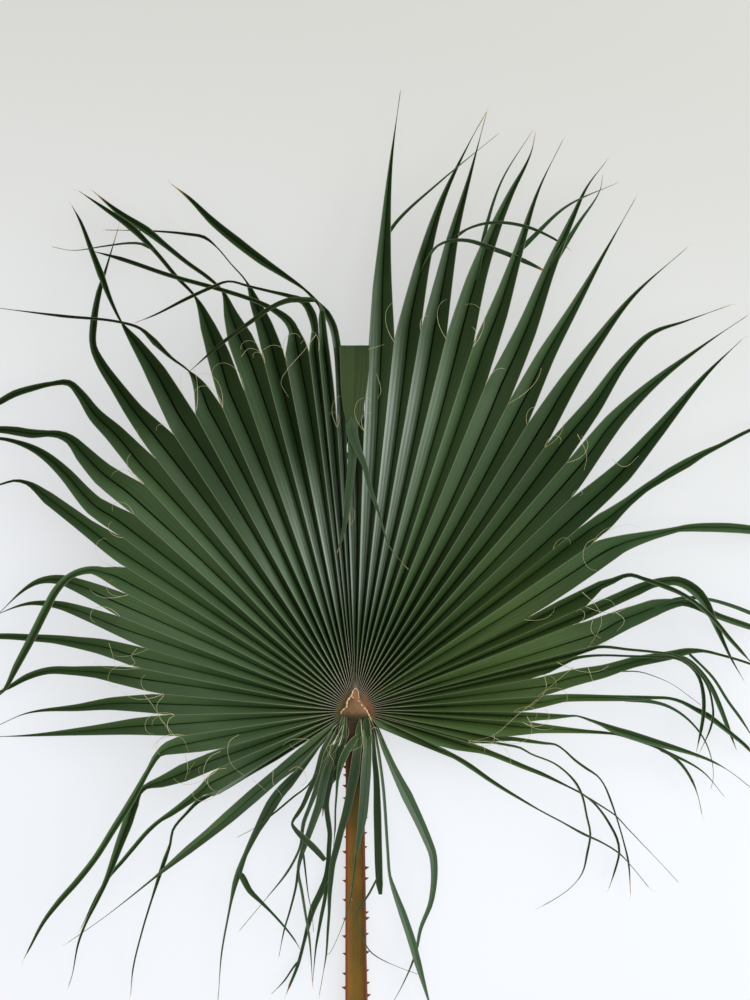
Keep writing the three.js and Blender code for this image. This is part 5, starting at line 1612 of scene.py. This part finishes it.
# %% Threads that lie on the fan
RESTING_LIFT = 1.5
RESTING_RADIUS = 0.3
RESTING = [
    [(-227, 14), (-236, 1), (-232, -13), (-221, -27), (-216, -34)],
    [(-215, -11), (-222, -16), (-221, -31), (-205, -39), (-198, -54)],
    [(-138, -34), (-149, -42), (-151, -58), (-145, -72), (-132, -83)],
    [(-160, -54), (-173, -61), (-180, -77), (-178, -89), (-170, -99)],
    [(-153, -74), (-167, -77), (-175, -86), (-173, -97), (-167, -101)],
    [(-202, -58), (-199, -74), (-202, -88)],
    [(-293, 76), (-288, 60), (-286, 49)],
    [(-259, 70), (-266, 60), (-262, 52), (-269, 49)],
    [(-251, 14), (-240, 0), (-231, -16), (-221, -29)],
    [(-97, -78), (-97, -93), (-88, -105), (-86, -111)],
    [(-78, -78), (-69, -73), (-59, -80), (-59, -93), (-66, -96)],
    [(-122, -87), (-105, -102)],
    [(290, 202), (278, 195), (274, 178), (282, 165), (290, 163)],
    [(273, 137), (290, 120), (296, 103), (290, 86), (280, 71)],
    [(286, 107), (284, 90), (295, 82)],
    [(312, 114), (323, 103), (314, 90)],
    [(228, 37), (230, 22), (220, 7), (211, 0)],
    [(263, 47), (250, 37), (233, 22), (224, 13)],
    [(280, 47), (284, 35), (288, 24)],
    [(220, 9), (194, -12), (168, -34), (143, -42)],
    [(207, -12), (215, -25)],
    [(267, 326), (278, 300), (275, 283)],
    [(308, 296), (323, 287), (340, 300)],
]

for spots in RESTING:
    loose([(x, y, ridge_height(Vector((x, y))) + RESTING_LIFT) for x, y in spots], RESTING_RADIUS)
print(len(threads_curve.splines), "threads so far")

# %% Hair-fine ends of the tips
HAIR_RADIUS = 0.24

for item, rows in zip(SEGMENTS, ROWS):
    if item["name"] in BLUNT:
        continue
    last = rows[-1]["rib"]
    away = last - rows[-3]["rib"]
    curl(last, math.atan2(away.y, away.x), chance.uniform(4, 12), chance.uniform(-1.2, 1.2), 0.0, HAIR_RADIUS)
print(len(threads_curve.splines), "threads in all")

# %% Make the threads a mesh
STRAWS = ((0.55, 0.48, 0.22), (0.74, 0.67, 0.42))

straw, tree, shader = new_finish("thread_straw", Roughness=0.6)
where = add_node(tree, "ShaderNodeTexCoord").outputs
tone = blend(tree, stretch(tree, clouds(tree, where["Object"], 25.0, 2.0), 0.35, 0.65), *STRAWS)
tree.links.new(tone, shader.inputs["Base Color"])
drawn = add_object("threads_drawn", threads_curve)
threads_mesh = bpy.data.meshes.new_from_object(drawn.evaluated_get(bpy.context.evaluated_depsgraph_get()))
bpy.data.objects.remove(drawn)
threads_mesh.materials.clear()
threads_mesh.materials.append(straw)
threads = add_object("threads", threads_mesh)
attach(threads, "root")
print("threads", len(threads_mesh.polygons), "faces")
